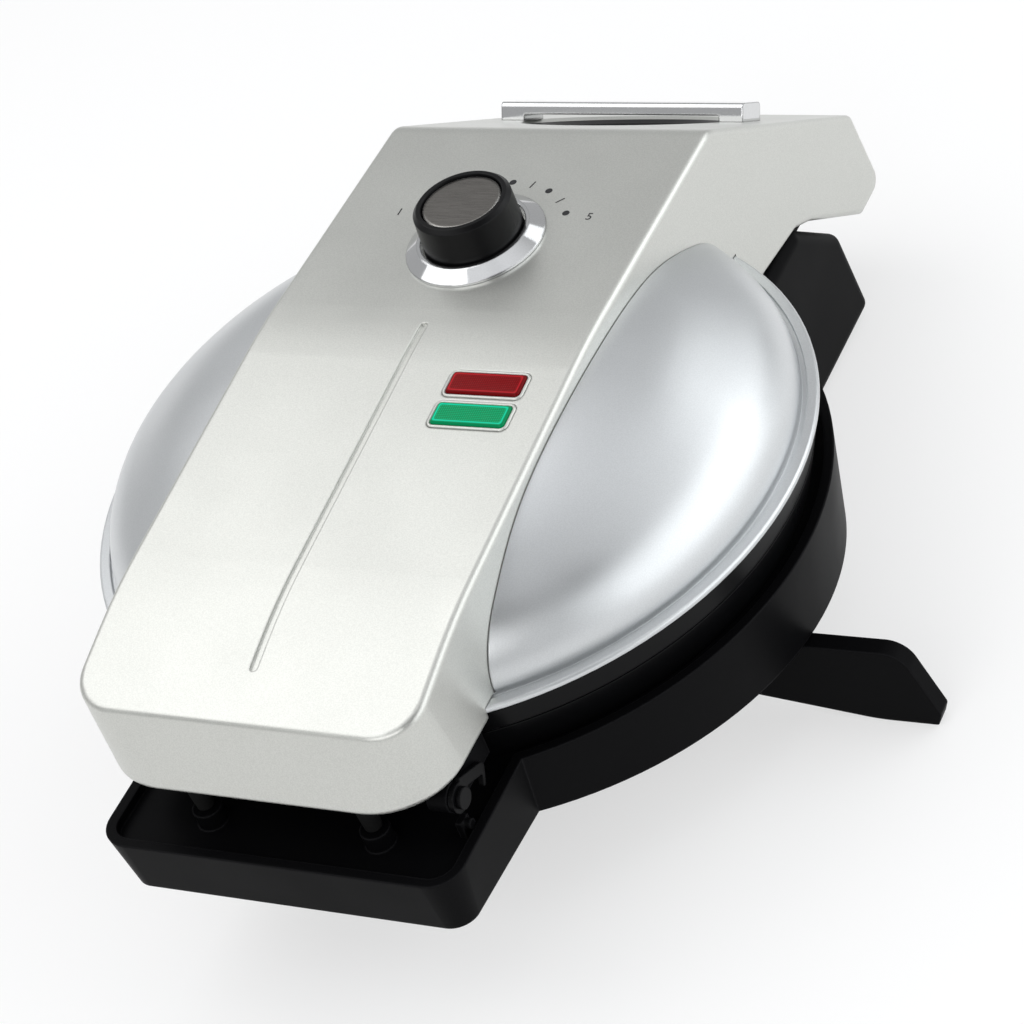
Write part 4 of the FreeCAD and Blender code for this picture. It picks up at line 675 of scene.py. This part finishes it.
def softbox(name, place, aim, width, height, power, colour=PLAIN_WHITE):
    """Flat studio light that faces a point."""
    light = bpy.data.lights.new(name, "AREA")
    light.shape = "RECTANGLE"
    light.size = width
    light.size_y = height
    light.energy = power
    light.color = colour
    lamp = bpy.data.objects.new(name, light)
    lamp.location = place
    lamp.rotation_euler = (Vector(aim) - Vector(place)).to_track_quat("-Z", "Y").to_euler()
    scene.collection.objects.link(lamp)


def direction(azimuth, elevation):
    """Unit vector at an angle in degrees from the front, turning to the right, and above the floor."""
    turn = math.radians(azimuth)
    tilt = math.radians(elevation)
    return Vector((math.cos(tilt) * math.sin(turn), -math.cos(tilt) * math.cos(turn), math.sin(tilt)))


def pale_room():
    """Pale grey light from all round, brighter straight above, with a dark corner beside the camera."""
    world = bpy.data.worlds.new("pale room")
    scene.world = world
    world.use_nodes = True
    tree = world.node_tree
    place = add(tree, "TexCoord")
    height = add(tree, "SeparateXYZ")
    feed(tree, height.inputs[0], place.outputs["Generated"])
    room = mixed(tree, remap(tree, height.outputs["Z"], CEILING_START, 1.0), ROOM_GREY, CEILING_WHITE)
    toward = add(tree, "VectorMath", operation="DOT_PRODUCT")
    feed(tree, toward.inputs[0], place.outputs["Generated"])
    toward.inputs[1].default_value = direction(DARK_AZIMUTH, DARK_ELEVATION)
    dark = remap(tree, toward.outputs["Value"], math.cos(DARK_REACH), math.cos(DARK_CORE))
    feed(tree, tree.nodes["Background"].inputs["Color"], mixed(tree, dark, room, DARK_CORNER))


# Camera
CAMERA_AZIMUTH = 38.12
CAMERA_ELEVATION = 38.45
CAMERA_ROLL = math.radians(21.80)
CAMERA_PLACE = Vector((0.4665, -0.60465, 0.6416))
SENSOR_WIDTH = 36
FOCAL_LENGTH = 117.3
NEAREST_SEEN = 0.05


def photo_camera():
    """Camera placed and rolled as in the photograph."""
    back = direction(CAMERA_AZIMUTH, CAMERA_ELEVATION)
    level = direction(CAMERA_AZIMUTH + QUARTER_TURN, 0)
    rise = back.cross(level)
    right = math.cos(CAMERA_ROLL) * level - math.sin(CAMERA_ROLL) * rise
    up = math.cos(CAMERA_ROLL) * rise + math.sin(CAMERA_ROLL) * level
    lens = bpy.data.cameras.new("photo camera")
    lens.sensor_width = SENSOR_WIDTH
    lens.lens = FOCAL_LENGTH
    lens.clip_start = NEAREST_SEEN
    camera = bpy.data.objects.new("photo camera", lens)
    placed = Matrix((right, up, back)).transposed().to_4x4()
    placed.translation = CAMERA_PLACE
    camera.matrix_world = placed
    scene.collection.objects.link(camera)
    scene.camera = camera


floor_plane()
pale_room()
softbox("left softbox", (-0.40, -0.08, 0.68), FRONT_LEFT, width=0.9, height=0.6, power=2.25)
softbox("right softbox", (1.0, 0.2, 0.5), PART_MIDDLE, width=1.8, height=0.9, power=8.0, colour=COOL_WHITE)
softbox("rear softbox", (0.47, 0.75, 0.60), PART_MIDDLE, width=0.6, height=0.55, power=1.1, colour=COOL_WHITE)
softbox("front softbox", (0.1, -1.1, 0.7), PART_MIDDLE, width=1.2, height=0.6, power=4.0)
photo_camera()
scene.view_settings.view_transform = "Standard"
